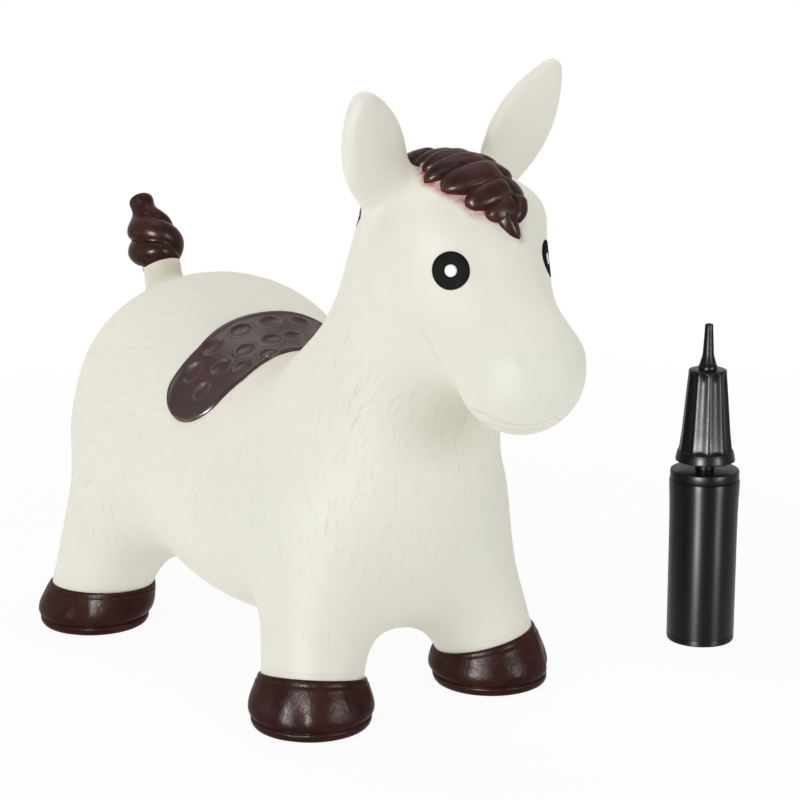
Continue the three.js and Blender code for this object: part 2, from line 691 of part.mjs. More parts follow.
// Each eye is a flat disc on the cheek with a light dot in its middle
function addEye(name, side) {
  const seat = through(vec(SKULL.x + EYE_AHEAD, 0, SKULL.z + EYE_ABOVE), vec(0, side, 0));
  const outward = slopeOf(skinField, seat).normalize();
  const from = seat.clone().addScaledVector(outward, -EYE_DIAMETER / 2);
  const disc = (diameter) => bar(from, outward, diameter / 2, EYE_DIAMETER, HOOF_SIDES);
  const film = layer(EYE_THICKNESS);
  const ring = film.intersect(disc(EYE_DIAMETER)).subtract(disc(EYE_DOT_DIAMETER + GAP * 2));
  place(hopper, `${name}_eye`, ring, EYE_BLACK);
  place(hopper, `${name}_eye_dot`, film.intersect(disc(EYE_DOT_DIAMETER)), EYE_WHITE);
}

// The valve: a thick bushing in the belly, and a stopper pushed up into it
function valvePoint() {
  return through(vec(VALVE_X, 0, BARREL.z), vec(0, 0, -1));
}

function addValve() {
  const belly = valvePoint();
  const foot = belly.z - VALVE_SEAT_PROUD;
  const seat = turned([
    [VALVE_BORE_RADIUS, foot],
    [VALVE_SEAT_RADIUS, foot],
    [VALVE_SEAT_RADIUS, foot + VALVE_SEAT_DEPTH / 2],
    [VALVE_BORE_RADIUS * 2, foot + VALVE_SEAT_DEPTH],
    [VALVE_BORE_RADIUS, foot + VALVE_SEAT_DEPTH],
    [VALVE_BORE_RADIUS, foot],
  ], SMALL_SIDES);
  place(hopper, 'valve_seat', seat.translate(belly.x, 0, 0), VALVE_WHITE);

  const underside = foot - GAP;
  const stem = VALVE_BORE_RADIUS - GAP;
  const stopper = turned([
    [0, underside - PLUG_HEAD_THICKNESS],
    [PLUG_HEAD_RADIUS, underside - PLUG_HEAD_THICKNESS],
    [PLUG_HEAD_RADIUS, underside],
    [stem, underside],
    [stem, underside + PLUG_STEM_LENGTH - stem],
    [stem / 2, underside + PLUG_STEM_LENGTH],
    [0, underside + PLUG_STEM_LENGTH],
  ], SMALL_SIDES);
  const tabHeight = PLUG_TAB_HEIGHT + PLUG_HEAD_THICKNESS;
  const tab = new THREE.BoxGeometry(PLUG_TAB_WIDTH, PLUG_TAB_THICKNESS, tabHeight);
  tab.translate(0, 0, underside - tabHeight / 2);
  place(hopper, 'valve_plug', stopper.add(solidOf(tab)).translate(belly.x, 0, 0), VALVE_WHITE);
}

// The pump: a closed barrel under a collar, and a piston on a hollow rod that the grip and nozzle end
function addPump() {
  place(pump, 'pump_barrel', turned([
    [0, 0],
    [BARREL_FOOT_RADIUS, 0],
    [BARREL_TOP_RADIUS, BARREL_HEIGHT],
    [BARREL_BORE_RADIUS, BARREL_HEIGHT],
    [BARREL_BORE_RADIUS, BARREL_FLOOR],
    [0, BARREL_FLOOR],
  ]), PUMP_GLOSS);

  const collarFoot = BARREL_HEIGHT + GAP;
  const collarTop = collarFoot + COLLAR_HEIGHT;
  const guide = ROD_RADIUS + GAP;
  const spigot = BARREL_BORE_RADIUS - GAP;
  place(pump, 'pump_collar', turned([
    [guide, collarFoot - COLLAR_SPIGOT],
    [spigot, collarFoot - COLLAR_SPIGOT],
    [spigot, collarFoot],
    [COLLAR_RADIUS, collarFoot],
    [COLLAR_RADIUS, collarTop - COLLAR_CHAMFER],
    [COLLAR_RADIUS - COLLAR_CHAMFER, collarTop],
    [guide, collarTop],
    [guide, collarFoot - COLLAR_SPIGOT],
  ]), PUMP_SATIN);

  const pistonFoot = BARREL_FLOOR + ROD_SHOWING + FLAP_THICKNESS + GAP * 2;
  const pistonTop = pistonFoot + PISTON_THICKNESS;
  const pistonRadius = BARREL_BORE_RADIUS - SEAL_SECTION / 2;
  const groove = pistonRadius - SEAL_SECTION / 2;
  const grooveLow = pistonFoot + (PISTON_THICKNESS - SEAL_SECTION) / 2 - GAP;
  const grooveHigh = grooveLow + SEAL_SECTION + GAP * 2;
  place(pump, 'pump_piston', turned([
    [ROD_BORE_RADIUS, pistonFoot],
    [pistonRadius, pistonFoot],
    [pistonRadius, grooveLow],
    [groove, grooveLow],
    [groove, grooveHigh],
    [pistonRadius, grooveHigh],
    [pistonRadius, pistonTop],
    [ROD_BORE_RADIUS, pistonTop],
    [ROD_BORE_RADIUS, pistonFoot],
  ]), PUMP_SATIN);

  const sealInner = groove + GAP;
  const sealOuter = BARREL_BORE_RADIUS - SEAL_CLEARANCE;
  const sealLow = grooveLow + GAP;
  const sealHigh = grooveHigh - GAP;
  place(pump, 'piston_seal', turned([
    [sealInner, sealLow],
    [sealOuter - SEAL_SECTION / 4, sealLow],
    [sealOuter, (sealLow + sealHigh) / 2],
    [sealOuter - SEAL_SECTION / 4, sealHigh],
    [sealInner, sealHigh],
    [sealInner, sealLow],
  ]), PUMP_RUBBER);

  const flapFoot = pistonFoot - GAP - FLAP_THICKNESS;
  place(pump, 'check_flap', turned([
    [0, flapFoot],
    [FLAP_RADIUS, flapFoot],
    [FLAP_RADIUS, flapFoot + FLAP_THICKNESS],
    [0, flapFoot + FLAP_THICKNESS],
  ], SMALL_SIDES), PUMP_RUBBER);

  const gripFoot = collarTop + ROD_SHOWING;
  const gripTop = gripFoot + GRIP_HEIGHT;
  const rodFoot = pistonTop + GAP;
  const rodTop = gripFoot + GRIP_SOCKET;
  place(pump, 'pump_rod', turned([
    [ROD_BORE_RADIUS, rodFoot],
    [ROD_RADIUS, rodFoot],
    [ROD_RADIUS, rodTop],
    [ROD_BORE_RADIUS, rodTop],
    [ROD_BORE_RADIUS, rodFoot],
  ], SMALL_SIDES), PUMP_SATIN);

  place(pump, 'pump_grip', gripSolid(gripFoot, rodTop), PUMP_SATIN);

  const nozzleFoot = gripTop + GAP;
  const nozzleTop = nozzleFoot + NOZZLE_LENGTH;
  place(pump, 'pump_nozzle', turned([
    [NOZZLE_BORE_RADIUS, nozzleFoot],
    [NOZZLE_BASE_RADIUS, nozzleFoot],
    [NOZZLE_BASE_RADIUS - NOZZLE_RIM_STEP, nozzleFoot + NOZZLE_RIM],
    [NOZZLE_NECK_RADIUS, nozzleFoot + NOZZLE_FLARE],
    [NOZZLE_TIP_RADIUS, nozzleTop],
    [NOZZLE_BORE_RADIUS, nozzleTop],
    [NOZZLE_BORE_RADIUS, nozzleFoot],
  ], SMALL_SIDES), PUMP_SATIN);
}

// The grip is a fluted cone with a plain skirt, hollow from below round the socket that holds the rod
const FLUTE_POINTS = 4;

function gripSolid(foot, rodTop) {
  const top = foot + GRIP_HEIGHT;
  const shoulder = foot + GRIP_SKIRT_HEIGHT;
  const sides = GRIP_FLUTES * FLUTE_POINTS;
  const fluted = (radius, height, depth) => Array.from({ length: sides }, (_, i) => {
    const angle = (i / sides) * Math.PI * 2;
    const cut = depth * (1 - Math.cos(angle * GRIP_FLUTES)) / 2;
    return vec((radius - cut) * Math.cos(angle), (radius - cut) * Math.sin(angle), height);
  });
  const outside = loft([
    fluted(GRIP_SKIRT_RADIUS, foot, 0),
    fluted(GRIP_SKIRT_RADIUS, shoulder, 0),
    fluted(GRIP_SHOULDER_RADIUS, shoulder + GRIP_EDGE, GRIP_FLUTE_DEPTH),
    fluted(GRIP_TOP_RADIUS, top - GRIP_EDGE * 2, GRIP_FLUTE_DEPTH),
    fluted(GRIP_TOP_RADIUS, top - GRIP_EDGE, 0),
    fluted(GRIP_TOP_RADIUS - GRIP_EDGE, top, 0),
  ]);
  const wall = GRIP_WALL + GRIP_FLUTE_DEPTH;
  const boss = ROD_RADIUS + GAP + GRIP_WALL;
  const roof = (shoulder + top) / 2;
  const roofRadius = (GRIP_SHOULDER_RADIUS + GRIP_TOP_RADIUS) / 2;
  const hollow = turned([
    [boss, foot - wall],
    [GRIP_SKIRT_RADIUS - GRIP_WALL, foot - wall],
    [GRIP_SKIRT_RADIUS - GRIP_WALL, shoulder - GRIP_WALL],
    [GRIP_SHOULDER_RADIUS - wall, shoulder],
    [roofRadius - wall, roof],
    [boss, roof],
    [boss, foot - wall],
  ]);
  const socket = turned([
    [0, foot - wall],
    [ROD_RADIUS + GAP, foot - wall],
    [ROD_RADIUS + GAP, rodTop + GAP],
    [ROD_BORE_RADIUS, rodTop + GAP],
    [ROD_BORE_RADIUS, top + wall],
    [0, top + wall],
  ], SMALL_SIDES);
  return outside.subtract(hollow).subtract(socket);
}

addSkin();
limbs.forEach(addHoof);
Object.entries(SIDES).forEach(([name, side]) => addEar(name, side));
addTail();
addSaddle();
addHair();
Object.entries(SIDES).forEach(([name, side]) => addEye(name, side));
addValve();
addPump();

// The pump stands clear of the animal's left side, and the origin is on the floor below the set's middle
pump.position.set(PUMP_X, skinBox.max.y + PUMP_CLEARANCE, 0);
const root = new THREE.Group();
root.add(hopper, pump);
root.updateMatrixWorld(true);
const middle = new THREE.Box3().setFromObject(root).getCenter(vec(0, 0, 0));
root.position.set(-middle.x, -middle.y, 0);

export default root;
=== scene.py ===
"""Dresses the animal hopper set: the donkey's vinyl skin, its painted pieces, its valve and its hand pump."""

import json
import logging
import math
from dataclasses import dataclass, field
from enum import Enum
from functools import cached_property
from typing import Callable, Sequence

import bpy
import numpy as np
from mathutils import Euler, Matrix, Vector


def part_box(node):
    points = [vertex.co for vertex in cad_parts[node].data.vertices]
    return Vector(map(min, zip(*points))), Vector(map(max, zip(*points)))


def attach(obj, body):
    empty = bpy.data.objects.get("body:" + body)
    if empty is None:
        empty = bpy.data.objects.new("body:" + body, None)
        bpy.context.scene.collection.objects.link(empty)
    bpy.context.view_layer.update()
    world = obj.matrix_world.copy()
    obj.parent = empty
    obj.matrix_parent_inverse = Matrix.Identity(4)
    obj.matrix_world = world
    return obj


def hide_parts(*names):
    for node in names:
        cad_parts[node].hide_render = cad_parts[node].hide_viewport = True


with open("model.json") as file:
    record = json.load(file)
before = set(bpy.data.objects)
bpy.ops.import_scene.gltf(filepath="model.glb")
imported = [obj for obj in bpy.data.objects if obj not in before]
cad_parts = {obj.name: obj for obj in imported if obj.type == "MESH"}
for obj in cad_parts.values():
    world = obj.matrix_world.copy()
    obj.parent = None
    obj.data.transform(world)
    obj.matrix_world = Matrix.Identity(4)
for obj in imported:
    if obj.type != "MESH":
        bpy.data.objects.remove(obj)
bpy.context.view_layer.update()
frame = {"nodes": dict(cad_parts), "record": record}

LOG = logging.getLogger("hopper")
SOLE = next(m for m in frame["record"]["mounts"] if m["name"] == "front_right_sole")
FRONT_FOOT = (0.137, 0.085)
ORIGIN = np.array(SOLE["pos_m"], float) - np.array([FRONT_FOOT[0], -FRONT_FOOT[1], 0.0])
UP = np.array([0.0, 0.0, 1.0])
RING_STEP = 0.001
MERGE = 2e-5
TINY = 0.00001
PER_METRE = 1000
Array = np.ndarray
Piece = bpy.types.Object
Material = bpy.types.Material
Socket = bpy.types.NodeSocket
Pair = tuple[float, float]
Triple = tuple[float, float, float]
Profile = Sequence[Pair]
RingForm = Callable[[Array, Array], Array]
Measure = Callable[[Array], Array]


class Side(Enum):
    """The animal's two sides, by the sign of Y."""

    RIGHT = -1
    LEFT = 1

    @property
    def word(self) -> str:
        """The side's name in lower case."""
        return self.name.lower()


class Body(Enum):
    """The bodies that pieces ride on."""

    HOPPER = "hopper"
    STOPPER = "stopper"
    PUMP_STAND = "pump_stand"
    PUMP_PLUNGER = "pump_plunger"


def unit(vector: Sequence[float]) -> Array:
    """A direction of length one."""
    array = np.asarray(vector, float)
    return array / np.linalg.norm(array, axis=-1, keepdims=True)


def ramp(value: Array, start: float, width: float) -> Array:
    """Grows from 0 at a start to 1 a width further on, downwards where the width is negative."""
    return np.clip((value - start) / width, 0, 1)


def bell(value: Array, width: float) -> Array:
    """A soft hump that is 1 where the value is 0."""
    return np.exp(-((value / width) ** 2))


def around(angle: Array) -> Array:
    """Level directions at angles."""
    return np.stack([np.cos(angle), np.sin(angle), np.zeros_like(angle)], 1)


def deselect() -> None:
    """Leaves object mode with nothing selected."""
    if bpy.context.object is not None and bpy.context.object.mode != "OBJECT":
        bpy.ops.object.mode_set(mode="OBJECT")
    bpy.ops.object.select_all(action="DESELECT")


def activate(*pieces: Piece) -> Piece:
    """Selects pieces alone and makes the first one active.

    Args:
        pieces: the objects to select.

    Returns:
        The active object.
    """
    deselect()
    for piece in pieces:
        piece.select_set(True)
    bpy.context.view_layer.objects.active = pieces[0]
    return pieces[0]


def joined(pieces: Sequence[Piece], name: str) -> Piece:
    """Joins objects into one mesh.

    Args:
        pieces: the objects to join.
        name: the name of the result.

    Returns:
        The joined object.
    """
    result = activate(*pieces)
    if len(pieces) > 1:
        bpy.ops.object.join()
    result.name = name
    return result


def modify(piece: Piece, kind: str, **settings: object) -> None:
    """Adds a modifier with its settings and applies it.

    Args:
        piece: the object to change.
        kind: the modifier's type.
        settings: values for the modifier's own properties.
    """
    activate(piece)
    bpy.ops.object.modifier_add(type=kind)
    modifier = piece.modifiers[-1]
    for key, value in settings.items():
        setattr(modifier, key, value)
    bpy.ops.object.modifier_apply(modifier=modifier.name)


def points_of(piece: Piece) -> Array:
    """The vertices of a mesh as rows of x, y and z."""
    flat = np.empty(len(piece.data.vertices) * 3)
    piece.data.vertices.foreach_get("co", flat)
    return flat.reshape(-1, 3)


def normals_of(piece: Piece) -> Array:
    """The vertex normals of a mesh as rows of x, y and z."""
    flat = np.empty(len(piece.data.vertices) * 3)
    piece.data.vertex_normals.foreach_get("vector", flat)
    return flat.reshape(-1, 3)


def move_points(piece: Piece, points: Array) -> None:
    """Puts the vertices of a mesh in new places.

    Args:
        piece: the object to change.
        points: one row of x, y and z for each vertex.
    """
    piece.data.vertices.foreach_set("co", np.ascontiguousarray(points, float).ravel())
    piece.data.update()


def store(piece: Piece, name: str, values: Array) -> None:
    """Keeps a number or a direction on each vertex for the materials to read.

    Args:
        piece: the object to change.
        name: the attribute's name.
        values: one number, or one row of three, for each vertex.
    """
    kind, key = ("FLOAT", "value") if values.ndim == 1 else ("FLOAT_VECTOR", "vector")
    attribute = piece.data.attributes.new(name, kind, "POINT")
    attribute.data.foreach_set(key, values.astype(np.float32).ravel())


def store_wear(piece: Piece, low: float, high: float) -> None:
    """Keeps how sharply each vertex stands out, so that paint can be worn there.

    Args:
        piece: the object to change.
        low: the sharpness at which wear starts.
        high: the sharpness at which wear is full.
    """
    mesh = piece.data
    ends = np.empty(len(mesh.edges) * 2, int)
    mesh.edges.foreach_get("vertices", ends)
    first, second = ends.reshape(-1, 2).T
    points, normals = points_of(piece), normals_of(piece)
    step = points[second] - points[first]
    step /= np.maximum(np.linalg.norm(step, axis=1, keepdims=True), 1e-9)
    total, count = np.zeros(len(points)), np.zeros(len(points))
    for here, sign in ((first, -1.0), (second, 1.0)):
        np.add.at(total, here, sign * (step * normals[here]).sum(1))
        np.add.at(count, here, 1)
    sharp = total / np.maximum(count, 1)
    store(piece, "wear", ramp(sharp, low, high - low))


def tidy_mesh(piece: Piece, fill: bool = True) -> None:
    """Merges doubles, closes open ends and turns all faces outwards.

    Args:
        piece: the object to change.
        fill: whether open ends are closed.
    """
    activate(piece)
    bpy.ops.object.mode_set(mode="EDIT")
    bpy.ops.mesh.select_all(action="SELECT")
    bpy.ops.mesh.remove_doubles(threshold=MERGE)
    if fill:
        bpy.ops.mesh.fill_holes(sides=0)
    bpy.ops.mesh.select_all(action="SELECT")
    bpy.ops.mesh.normals_make_consistent(inside=False)
    bpy.ops.object.mode_set(mode="OBJECT")


def stack(name: str, rings: int, sides: int) -> Piece:
    """A tube of even rings, extruded from a circle, for a form to be laid on.

    Args:
        name: the object's name.
        rings: how many rings it has.
        sides: how many corners each ring has.

    Returns:
        The tube, one millimetre from ring to ring.
    """
    deselect()
    bpy.ops.mesh.primitive_circle_add(vertices=sides, radius=0.01, location=(0, 0, 0))
    piece = bpy.context.object
    piece.name = name
    bpy.ops.object.mode_set(mode="EDIT")
    bpy.ops.mesh.select_all(action="SELECT")
    for _ in range(rings - 1):
        bpy.ops.mesh.extrude_region_move(TRANSFORM_OT_translate={"value": (0, 0, RING_STEP)})
    bpy.ops.object.mode_set(mode="OBJECT")
    return piece


def lay(piece: Piece, form: RingForm, fill: bool = True) -> None:
    """Lays a tube of rings on a form and closes it.

    Args:
        piece: a tube made by stack.
        form: gives the place of each corner from its ring's number and its angle.
        fill: whether open ends are closed.
    """
    points = points_of(piece)
    ring = np.rint(points[:, 2] / RING_STEP).astype(int)
    move_points(piece, form(ring, np.arctan2(points[:, 1], points[:, 0])))
    tidy_mesh(piece, fill)


def turned(
    name: str, profile: Profile, sides: int, spot: Sequence[float], base: float = 0.0
) -> Piece:
    """A turned piece: a circle extruded and resized along a profile.

    Args:
        name: the object's name.
        profile: radius and height of each ring in millimetres.
        sides: how many corners each ring has.
        spot: where the piece's axis meets the floor.
        base: the height in millimetres that the profile counts from.

    Returns:
        The closed piece.
    """
    least = 0.008
    rings = [(max(radius, least) / PER_METRE, (base + height) / PER_METRE) for radius, height in profile]
    deselect()
    bpy.ops.mesh.primitive_circle_add(vertices=sides, radius=rings[0][0], location=(0, 0, 0))
    piece = bpy.context.object
    piece.name = name
    bpy.ops.object.mode_set(mode="EDIT")
    bpy.ops.mesh.select_all(action="SELECT")
    bpy.ops.transform.translate(value=(0, 0, rings[0][1]))
    for (before, low), (after, high) in zip(rings, rings[1:]):
        bpy.ops.mesh.extrude_region_move(TRANSFORM_OT_translate={"value": (0, 0, high - low)})
        share = after / before
        bpy.ops.transform.resize(value=(share, share, 1), center_override=(0, 0, high))
    bpy.ops.object.mode_set(mode="OBJECT")
    move_points(piece, points_of(piece) + np.array(spot, float))
    tidy_mesh(piece)
    return piece


@dataclass(frozen=True)
class Ball:
    """An egg-shaped form on the middle plane, by its centre and its three sizes."""

    x: float
    z: float
    length: float
    width: float
    height: float

    def radii(self) -> Array:
        """Half of each size."""
        return np.array([self.length, self.width, self.height]) / 2

    def distance(self, points: Array) -> Array:
        """How far points lie outside the form."""
        away, radii = points - np.array([self.x, 0, self.z]), self.radii()
        scaled = np.linalg.norm(away / radii, axis=1)
        slope = np.linalg.norm(away / radii**2, axis=1)
        return scaled * (scaled - 1) / np.maximum(slope, 1e-9)


@dataclass(frozen=True)
class Taper:
    """A round form from one ball to another."""

    start: Triple
    end: Triple
    start_radius: float
    end_radius: float

    def radius(self, share: Array) -> Array:
        """The radius at shares of the way."""
        return self.start_radius + (self.end_radius - self.start_radius) * share

    def at(self, share: float) -> tuple[Array, float]:
        """The centre and radius at a share of the way."""
        start, end = np.array(self.start), np.array(self.end)
        return start + (end - start) * share, self.radius(share)

    def distance(self, points: Array) -> Array:
        """How far points lie outside the form."""
        start, end = np.array(self.start), np.array(self.end)
        reach = end - start
        share = np.clip((points - start) @ reach / (reach @ reach), 0, 1)
        nearest = start + share[:, None] * reach
        return np.linalg.norm(points - nearest, axis=1) - self.radius(share)


@dataclass(frozen=True)
class Ear:
    """A leaf-shaped ear whose outer third is folded back along a soft ridge."""

    side: Side
    tip: Triple
    root: Triple = (0.182, 0.048, 0.404)
    width: float = 0.054
    rim: float = 0.0062
    toe_in: float = 8.0
    fold: float = 0.24
    soft: float = 0.0035
    root_share: float = 0.2
    taper: float = 0.62
    fold_start: float = 0.22
    plane_shift: float = 0.0012
    root_depth: float = 0.02
    loft_depth: float = 0.014
    loft_rings: int = 30
    loft_sides: int = 40
    loft_crowding: float = 1.5

    def axes(self) -> tuple[Array, Array, Array, Array, float]:
        """Root, length direction, width direction, facing direction and length."""
        sign = self.side.value
        root = np.array(self.root) * [1, sign, 1]
        reach = np.array(self.tip) * [1, sign, 1] - root
        length = float(np.linalg.norm(reach))
        axis = reach / length
        turn = math.radians(-sign * self.toe_in)
        ahead = np.array([math.cos(turn), math.sin(turn), 0])
        facing = unit(ahead - axis * (ahead @ axis))
        return root, axis, np.cross(facing, axis), facing, length

    def half(self, share: Array) -> Array:
        """Half the leaf's width at shares of its length."""
        place = self.root_share + (1 - self.root_share) * np.clip(share, 0, 0.995)
        return self.width / 2 * np.sin(np.pi * place) ** self.taper

    def ridge(self, outer: Array, half: Array) -> Array:
        """How far the folded sheet lies ahead of the leaf's plane.

        Args:
            outer: how far points lie towards the outer edge.
            half: half the leaf's width there.

        Returns:
            The depth at each point, backwards counted as less.
        """
        past = (outer - self.fold_start * half) / self.soft
        return -self.fold * self.soft * np.logaddexp(0, past) + self.plane_shift

    def distance(self, points: Array) -> Array:
        """How far points lie outside the ear."""
        root, axis, across, facing, length = self.axes()
        away = points - root
        along, wide, deep = away @ axis, away @ across, away @ facing
        half = self.half(along / length)
        radius = np.minimum(self.rim, half)
        over_width = np.maximum(np.abs(wide) - (half - radius), 0)
        over_length = np.maximum(along - (length - self.rim), 0) + np.maximum(-along - self.root_depth, 0)
        outer = np.clip(wide * np.sign(across[1]) * self.side.value, -half, half)
        return np.sqrt(over_width**2 + over_length**2 + (deep - self.ridge(outer, half)) ** 2) - radius

    def loft(self) -> Piece:
        """The ear as a closed loft, from inside the head to its tip."""
        root, axis, across, facing, length = self.axes()
        share = 1 - (1 - np.linspace(0, 1, self.loft_rings)) ** self.loft_crowding
        along = -self.loft_depth + (length + self.loft_depth) * share
        half = self.half(along / length)
        half[-1] *= 0.05
        piece = stack(f"{self.side.word}_ear", self.loft_rings, self.loft_sides)

        def form(ring: Array, angle: Array) -> Array:
            """The ear's place of each corner."""
            wide = half[ring] * np.cos(angle)
            outer = wide * np.sign(across[1]) * self.side.value
            thick = np.minimum(self.rim, half[ring]) * np.sin(angle)
            deep = self.ridge(outer, half[ring]) + thick
            return root + axis * along[ring][:, None] + across * wide[:, None] + facing * deep[:, None]

        lay(piece, form)
        return piece


def blend(first: Array, second: Array, radius: float) -> Array:
    """The smaller of two distances, rounded over where they are alike."""
    overlap = np.maximum(radius - np.abs(first - second), 0) / radius
    return np.minimum(first, second) - overlap**2 * radius / 4


@dataclass(frozen=True)
class SkinForm:
    """The outside of the blown-up skin: round forms that swell into each other."""

    rump: Ball = Ball(-0.132, 0.190, 0.228, 0.242, 0.212)
    barrel: Ball = Ball(-0.006, 0.142, 0.330, 0.230, 0.206)
    chest: Ball = Ball(0.100, 0.164, 0.180, 0.188, 0.216)
    neck: Taper = Taper((0.122, 0, 0.230), (0.182, 0, 0.344), 0.074, 0.060)
    skull: Ball = Ball(0.196, 0.358, 0.118, 0.104, 0.130)
    brow: Ball = Ball(0.226, 0.388, 0.056, 0.110, 0.052)
    muzzle: Taper = Taper((0.234, 0, 0.330), (0.279, 0, 0.288), 0.041, 0.046)
    front_hip: tuple[float, float, float, float] = (0.108, 0.056, 0.140, 0.046)
    rear_hip: tuple[float, float, float, float] = (-0.136, 0.070, 0.150, 0.056)
    front_foot: Triple = (*FRONT_FOOT, 0.038)
    rear_foot: Triple = (-0.174, 0.102, 0.038)
    ankle: float = 0.020
    swell: float = 0.046
    limb_swell: float = 0.036
    ear_swell: float = 0.018
    dock_swell: float = 0.020
    ears: tuple[Ear, ...] = (
        Ear(Side.RIGHT, (0.206, 0.086, 0.481)),
        Ear(Side.LEFT, (0.207, 0.088, 0.497), width=0.050, root_share=0.13, taper=0.74),
    )
    tail_rise: float = 39.0
    dock_length: float = 0.030
    dock_radius: float = 0.0163
    dock_lean: float = 12.0
    least_steep: float = 0.25
    longest_shift: float = 0.008
    stride: float = 0.002
    farthest: float = 0.5
    halvings: int = 16

    @cached_property
    def legs(self) -> list[Taper]:
        """The four legs, front right first."""
        found = []
        for hip, foot in ((self.front_hip, self.front_foot), (self.rear_hip, self.rear_foot)):
            for side in Side:
                sign = side.value
                start, end = (hip[0], sign * hip[1], hip[2]), (foot[0], sign * foot[1], self.ankle)
                found.append(Taper(start, end, hip[3], foot[2]))
        return found

    def trunk(self, points: Array) -> Array:
        """How far points lie outside the skin, without ears and tail."""
        face = blend(self.skull.distance(points), self.muzzle.distance(points), self.swell)
        face = blend(face, self.brow.distance(points), self.swell / 2)
        total = self.rump.distance(points)
        for part in [form.distance(points) for form in (self.barrel, self.chest, self.neck)] + [face]:
            total = blend(total, part, self.swell)
        for leg in self.legs:
            total = blend(total, leg.distance(points), self.limb_swell)
        return total

    @cached_property
    def dock(self) -> Taper:
        """The stump of the tail."""
        rise, lean = math.radians(self.tail_rise), math.radians(self.dock_lean)
        middle = np.array([[self.rump.x, 0, self.rump.z]])
        root = self.through(middle, np.array([[-math.cos(rise), 0, math.sin(rise)]]), self.trunk)[0]
        up = np.array([-math.sin(lean), 0, math.cos(lean)])
        top, start = root + up * self.dock_length, root - up * self.dock_radius
        return Taper(tuple(start), tuple(top), self.dock_radius, self.dock_radius)

    def distance(self, points: Array) -> Array:
        """How far points lie outside the skin, ears and tail stump included."""
        total = self.trunk(points)
        for ear in self.ears:
            total = blend(total, ear.distance(points), self.ear_swell)
        return blend(total, self.dock.distance(points), self.dock_swell)

    def slope(self, points: Array, step: float = 0.0004) -> Array:
        """The direction in which the distance grows, not made unit length."""
        result = np.empty_like(points)
        for axis in range(3):
            offset = np.zeros(3)
            offset[axis] = step
            result[:, axis] = (self.distance(points + offset) - self.distance(points - offset)) / (2 * step)
        return result

    def settle(self, points: Array, steps: int = 5) -> Array:
        """Moves points onto the skin by the shortest way.

        Args:
            points: rows of x, y and z near the skin.
            steps: how often the move is refined.

        Returns:
            The points on the skin.
        """
        moved = points.copy()
        for _ in range(steps):
            slope = self.slope(moved)
            steep = np.maximum((slope**2).sum(1), self.least_steep)
            shift = np.clip(self.distance(moved) / steep, -self.longest_shift, self.longest_shift)
            moved -= slope * shift[:, None]
        return moved

    def through(self, start: Array, direction: Array, measure: Measure | None = None) -> Array:
        """Walks out of the skin along directions.

        Args:
            start: rows of points inside the skin.
            direction: one direction for each start.
            measure: the distance to walk by, all of the skin if left out.

        Returns:
            The points where the walks come through the skin.
        """
        measure = measure or self.distance
        low = np.zeros(len(start))
        reach = np.zeros(len(start))
        walking = np.ones(len(start), bool)
        while walking.any() and reach.max() < self.farthest:
            reach[walking] += self.stride
            outside = measure(start + direction * reach[:, None]) > 0
            low = np.where(walking & ~outside, reach, low)
            walking &= ~outside
        high = reach.copy()
        for _ in range(self.halvings):
            middle = (low + high) / 2
            outside = measure(start + direction * middle[:, None]) > 0
            low, high = np.where(outside, low, middle), np.where(outside, middle, high)
        return start + direction * low[:, None]


FORM = SkinForm()


